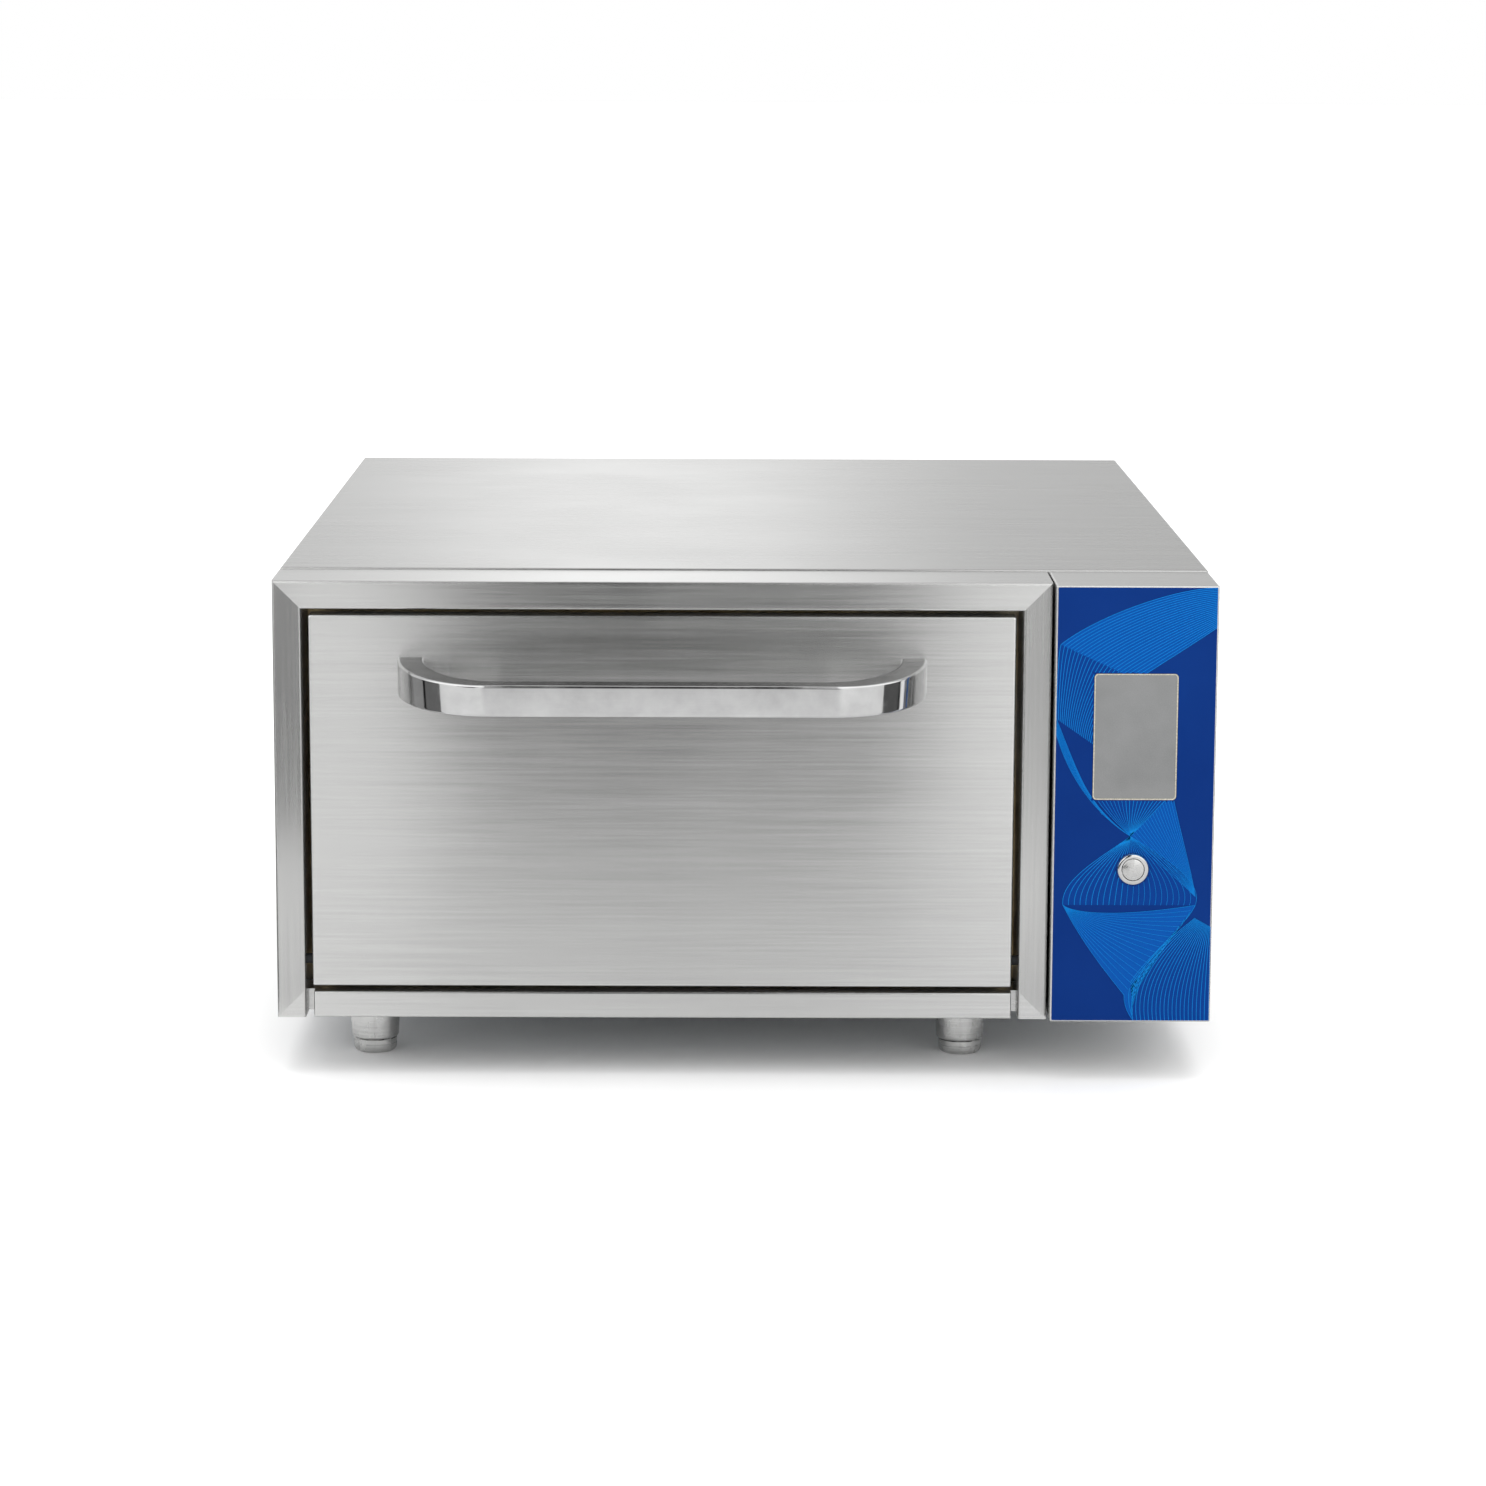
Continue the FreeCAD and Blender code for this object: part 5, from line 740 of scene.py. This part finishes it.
# the yarns cross about every 1.5 mm
place = add(tree, "ShaderNodeTexCoord")
turned_braid = add(tree, "ShaderNodeMapping", {"Vector": place.outputs["Object"], "Rotation": (0.0, math.radians(45), 0.0)})
weave = add(tree, "ShaderNodeTexChecker", {"Vector": turned_braid.outputs[0], "Scale": 660.0})
tree.links.new(tint(tree, weave.outputs["Fac"], "4d4b46", "85827a"), shader.inputs["Base Color"])
relief = add(tree, "ShaderNodeBump", {"Height": weave.outputs["Fac"], "Strength": 0.5, "Distance": 0.0005})
tree.links.new(relief.outputs[0], shader.inputs["Normal"])
tree.links.new(spread(tree, weave.outputs["Fac"], 0.78, 0.92, 0.0, 1.0), shader.inputs["Roughness"])
finish(braid, "door_seal")

lead, tree, shader = start_material("silicone_lead", "7b1d16", 0.0, 0.5)
dusty = pattern(tree, (300.0, 300.0, 300.0), 3.0)
tree.links.new(tint(tree, spread(tree, dusty, 0.0, 1.0), "66160f", "8f2a20"), shader.inputs["Base Color"])
tree.links.new(spread(tree, dusty, 0.42, 0.6), shader.inputs["Roughness"])
finish(lead, "wiring_harness")


# ---- Electrical parts ----------------------------------------------------------------------------------------------
# The controller and display boards are glass epoxy with a green solder mask; contactors and terminals are moulded in
# light grey polycarbonate and clip on a rail or stand on the base.

board, tree, shader = start_material("green_solder_mask", "0f5a30", 0.0, 0.35, IOR=1.5)
tracks = pattern(tree, (240.0, 240.0, 240.0), 1.0)
tree.links.new(tint(tree, spread(tree, tracks, 0.0, 1.0, 0.48, 0.52), "0b4a27", "17703d"), shader.inputs["Base Color"])
tree.links.new(spread(tree, tracks, 0.28, 0.42), shader.inputs["Roughness"])
finish(board, "controller_board", "display_module")

grey_plastic, tree, shader = start_material("light_grey_polycarbonate", "9a9c9e", 0.0, 0.45)
moulded = pattern(tree, (1200.0, 1200.0, 1200.0), 2.0)
tree.links.new(tint(tree, spread(tree, moulded, 0.0, 1.0), "8e9092", "a5a7a9"), shader.inputs["Base Color"])
tree.links.new(spread(tree, moulded, 0.38, 0.55), shader.inputs["Roughness"])
finish(grey_plastic, "contactors", "terminal_block")


# ---- Rear fittings -------------------------------------------------------------------------------------------------
# The steam collar and its damper flap are rolled from the casing's stainless; the cable gland is nickel-plated brass with
# a tapped clamping nut, and the hinge bushes are sintered bronze.

flue_steel = brushed_steel("rolled_stainless", "Y", "9f9d99", "bdbbb7", 0.24, 0.38, 0.4)
finish(flue_steel, "flue_duct", "damper_flap")

nickel, tree, shader = start_material("nickel_plated_brass", "c3b9a4", 1.0, 0.25)
plating = pattern(tree, (500.0, 40.0, 500.0), 3.0)
tree.links.new(tint(tree, spread(tree, plating, 0.0, 1.0), "a79c84", "cfc6b4"), shader.inputs["Base Color"])
tree.links.new(spread(tree, plating, 0.18, 0.36), shader.inputs["Roughness"])
finish(nickel, "cable_gland")

bronze, tree, shader = start_material("sintered_bronze", "9a6c34", 1.0, 0.45)
pores = pattern(tree, (2000.0, 2000.0, 2000.0), 3.0)
tree.links.new(tint(tree, spread(tree, pores, 0.0, 1.0), "7c5528", "ad7d42"), shader.inputs["Base Color"])
tree.links.new(spread(tree, pores, 0.35, 0.55), shader.inputs["Roughness"])
finish(bronze, "door_bushes")


# ---- Studio --------------------------------------------------------------------------------------------------------
# A wide pale floor, an even bright surround with a dim gap in front of the oven where the camera stands, and one large
# soft box overhead. The dim gap is what darkens the middle of the door.

floor_mesh = bpy.data.meshes.new("floor")
work = bmesh.new()
bmesh.ops.create_grid(work, x_segments=1, y_segments=1, size=30.0)
work.to_mesh(floor_mesh)
work.free()
floor = bpy.data.objects.new("floor", floor_mesh)
bpy.context.scene.collection.objects.link(floor)
floor_paint, tree, shader = start_material("studio_floor", "fafafa", 0.0, 0.9)
floor_mesh.materials.append(floor_paint)

flag_mesh = bpy.data.meshes.new("dim_gap")
work = bmesh.new()
corners = [(-3.0, -0.62, 0.003), (3.0, -0.62, 0.003), (3.0, -9.0, 0.003), (-3.0, -9.0, 0.003)]
work.faces.new([work.verts.new(c) for c in corners])
work.to_mesh(flag_mesh)
work.free()
flag = bpy.data.objects.new("dim_gap", flag_mesh)
bpy.context.scene.collection.objects.link(flag)
for sight in ("visible_camera", "visible_diffuse", "visible_shadow", "visible_transmission", "visible_volume_scatter"):
    setattr(flag, sight, False)
dim, tree, shader = start_material("dim_gap_cloth", "404040", 0.0, 1.0)
tree.nodes.remove(shader)
place = add(tree, "ShaderNodeTexCoord")
parts = add(tree, "ShaderNodeSeparateXYZ", {0: place.outputs["Object"]})
# the gap widens with distance, as seen from the oven
distance = add(tree, "ShaderNodeMath", {0: parts.outputs["Y"], 1: -1.0}, operation="MULTIPLY").outputs[0]
widening = add(tree, "ShaderNodeMath", {0: distance, 1: 2.4}, operation="ADD").outputs[0]
offset = add(tree, "ShaderNodeMath", {0: parts.outputs["X"], 1: 0.07}, operation="ADD").outputs[0]
angle = add(tree, "ShaderNodeMath", {0: offset, 1: widening}, operation="DIVIDE").outputs[0]
sideways = add(tree, "ShaderNodeMath", {0: angle}, operation="ABSOLUTE").outputs[0]
wide = add(tree, "ShaderNodeMapRange", {"Value": sideways, "From Min": 0.052, "From Max": 0.080, "To Min": 1.0, "To Max": 0.0}, interpolation_type="SMOOTHSTEP").outputs[0]
far = add(tree, "ShaderNodeMapRange", {"Value": distance, "From Min": 1.0, "From Max": 1.7, "To Min": 0.0, "To Max": 1.0}, interpolation_type="SMOOTHSTEP").outputs[0]
gap_cover = add(tree, "ShaderNodeMath", {0: wide, 1: far}, operation="MULTIPLY").outputs[0]
# the floor right in front of the oven is a little dimmer all along
near_cover = spread(tree, distance, 0.25, 0.0, 0.6, 1.5)
cover = add(tree, "ShaderNodeMath", {0: gap_cover, 1: near_cover}, operation="MAXIMUM").outputs[0]
clear = add(tree, "ShaderNodeBsdfTransparent")
glow = add(tree, "ShaderNodeEmission", {"Color": linear("404040"), "Strength": 1.0})
blend = add(tree, "ShaderNodeMixShader", {0: cover, 1: clear.outputs[0], 2: glow.outputs[0]})
tree.links.new(blend.outputs[0], tree.nodes["Material Output"].inputs["Surface"])
flag_mesh.materials.append(dim)

# Flat cards beside the oven give the bright bar its dark upright lines; the last dims the left stile's upper half.
for name, corners, grey in (
    ("left_card", [(-0.55, -0.61), (-0.55, -0.480), (-3.0, -0.60), (-3.0, -1.9)], "868686"),
    ("left_card_edge", [(-0.55, -0.480), (-0.55, -0.458), (-3.0, -0.42), (-3.0, -0.60)], "080808"),
    ("left_card_rear", [(-0.55, -0.458), (-0.55, 0.0), (-3.0, 0.8), (-3.0, -0.42)], "b0b0b0"),
    ("right_card", [(0.42, -0.61), (0.42, -0.480), (2.9, -0.60), (2.9, -1.9)], "6c6c6c"),
    ("right_card_edge", [(0.42, -0.480), (0.42, -0.458), (2.9, -0.42), (2.9, -0.60)], "080808"),
    ("far_left_card", [(-0.47, -1.35), (-0.98, -1.35), (-2.2, -4.6), (-0.82, -4.6)], "404040"),
):
    card_mesh = bpy.data.meshes.new(name)
    work = bmesh.new()
    work.faces.new([work.verts.new((x, y, 0.004)) for x, y in corners])
    bmesh.ops.recalc_face_normals(work, faces=work.faces)
    work.to_mesh(card_mesh)
    work.free()
    card = bpy.data.objects.new(name, card_mesh)
    bpy.context.scene.collection.objects.link(card)
    for sight in ("visible_camera", "visible_diffuse", "visible_shadow", "visible_transmission", "visible_volume_scatter"):
        setattr(card, sight, False)
    cloth, tree, shader = start_material(name + "_cloth", grey, 0.0, 1.0)
    tree.nodes.remove(shader)
    glow = add(tree, "ShaderNodeEmission", {"Color": linear(grey)})
    tree.links.new(glow.outputs[0], tree.nodes["Material Output"].inputs["Surface"])
    card_mesh.materials.append(cloth)

world = bpy.data.worlds.new("studio")
bpy.context.scene.world = world
world.use_nodes = True
tree = world.node_tree
tree.nodes.clear()
place = add(tree, "ShaderNodeTexCoord")
parts = add(tree, "ShaderNodeSeparateXYZ", {0: place.outputs["Generated"]})
shifted = add(tree, "ShaderNodeMath", {0: parts.outputs["X"], 1: 0.017}, operation="ADD").outputs[0]
sideways = add(tree, "ShaderNodeMath", {0: shifted}, operation="ABSOLUTE").outputs[0]
middle = add(tree, "ShaderNodeMapRange", {"Value": sideways, "From Min": 0.050, "From Max": 0.080, "To Min": 0.05, "To Max": 2.0}, interpolation_type="SMOOTHSTEP").outputs[0]
peak = add(tree, "ShaderNodeMapRange", {"Value": sideways, "From Min": 0.01, "From Max": 0.085, "To Min": 1.62, "To Max": 1.0}, interpolation_type="SMOOTHSTEP").outputs[0]
slope = add(tree, "ShaderNodeMapRange", {"Value": parts.outputs["X"], "From Min": -0.02, "From Max": 0.12, "To Min": 1.0, "To Max": 0.8}).outputs[0]
wall = add(tree, "ShaderNodeMath", {0: peak, 1: slope}, operation="MULTIPLY").outputs[0]
behind = add(tree, "ShaderNodeMapRange", {"Value": parts.outputs["Y"], "From Min": -0.2, "From Max": 0.0, "To Min": 0.0, "To Max": 1.0}).outputs[0]
tone = add(tree, "ShaderNodeMix", {0: behind, 2: middle, 3: wall}).outputs[0]
room = add(tree, "ShaderNodeBackground", {"Color": (1.0, 1.0, 1.0, 1.0), "Strength": tone})
lamp = add(tree, "ShaderNodeBackground", {"Color": (1.0, 1.0, 1.0, 1.0), "Strength": 1.3})
white = add(tree, "ShaderNodeBackground", {"Color": (1.0, 1.0, 1.0, 1.0), "Strength": 1.0})
ray = add(tree, "ShaderNodeLightPath")
matt = add(tree, "ShaderNodeMixShader", {0: ray.outputs["Is Diffuse Ray"], 1: room.outputs[0], 2: lamp.outputs[0]})
seen = add(tree, "ShaderNodeMixShader", {0: ray.outputs["Is Camera Ray"], 1: matt.outputs[0], 2: white.outputs[0]})
add(tree, "ShaderNodeOutputWorld", {"Surface": seen.outputs[0]})

soft_box = bpy.data.lights.new("soft_box", "AREA")
soft_box.shape = "RECTANGLE"
soft_box.size, soft_box.size_y = 2.6, 2.2
soft_box.energy = 34.0
hung = bpy.data.objects.new("soft_box", soft_box)
hung.location = (0.1, 0.2, 2.7)
hung.visible_glossy = False
bpy.context.scene.collection.objects.link(hung)
bpy.context.scene.view_settings.view_transform = "Standard"

lens_data = bpy.data.cameras.new("camera")
lens_data.sensor_width = 36.0
lens_data.lens = 103.0
lens_data.clip_end = 100.0
camera = bpy.data.objects.new("camera", lens_data)
bpy.context.scene.collection.objects.link(camera)
yaw, pitch, roll = math.radians(0.33), math.radians(10.0), math.radians(0.24)
forward = Vector((math.sin(yaw) * math.cos(pitch), math.cos(yaw) * math.cos(pitch), -math.sin(pitch)))
level = Vector((math.cos(yaw), -math.sin(yaw), 0.0))
right = level * math.cos(roll) + level.cross(forward) * math.sin(roll)
up = right.cross(forward)
turned_to = Matrix((right, up, -forward)).transposed().to_4x4()
camera.matrix_world = Matrix.Translation((-0.020, -3.712, 0.849)) @ turned_to
bpy.context.scene.camera = camera
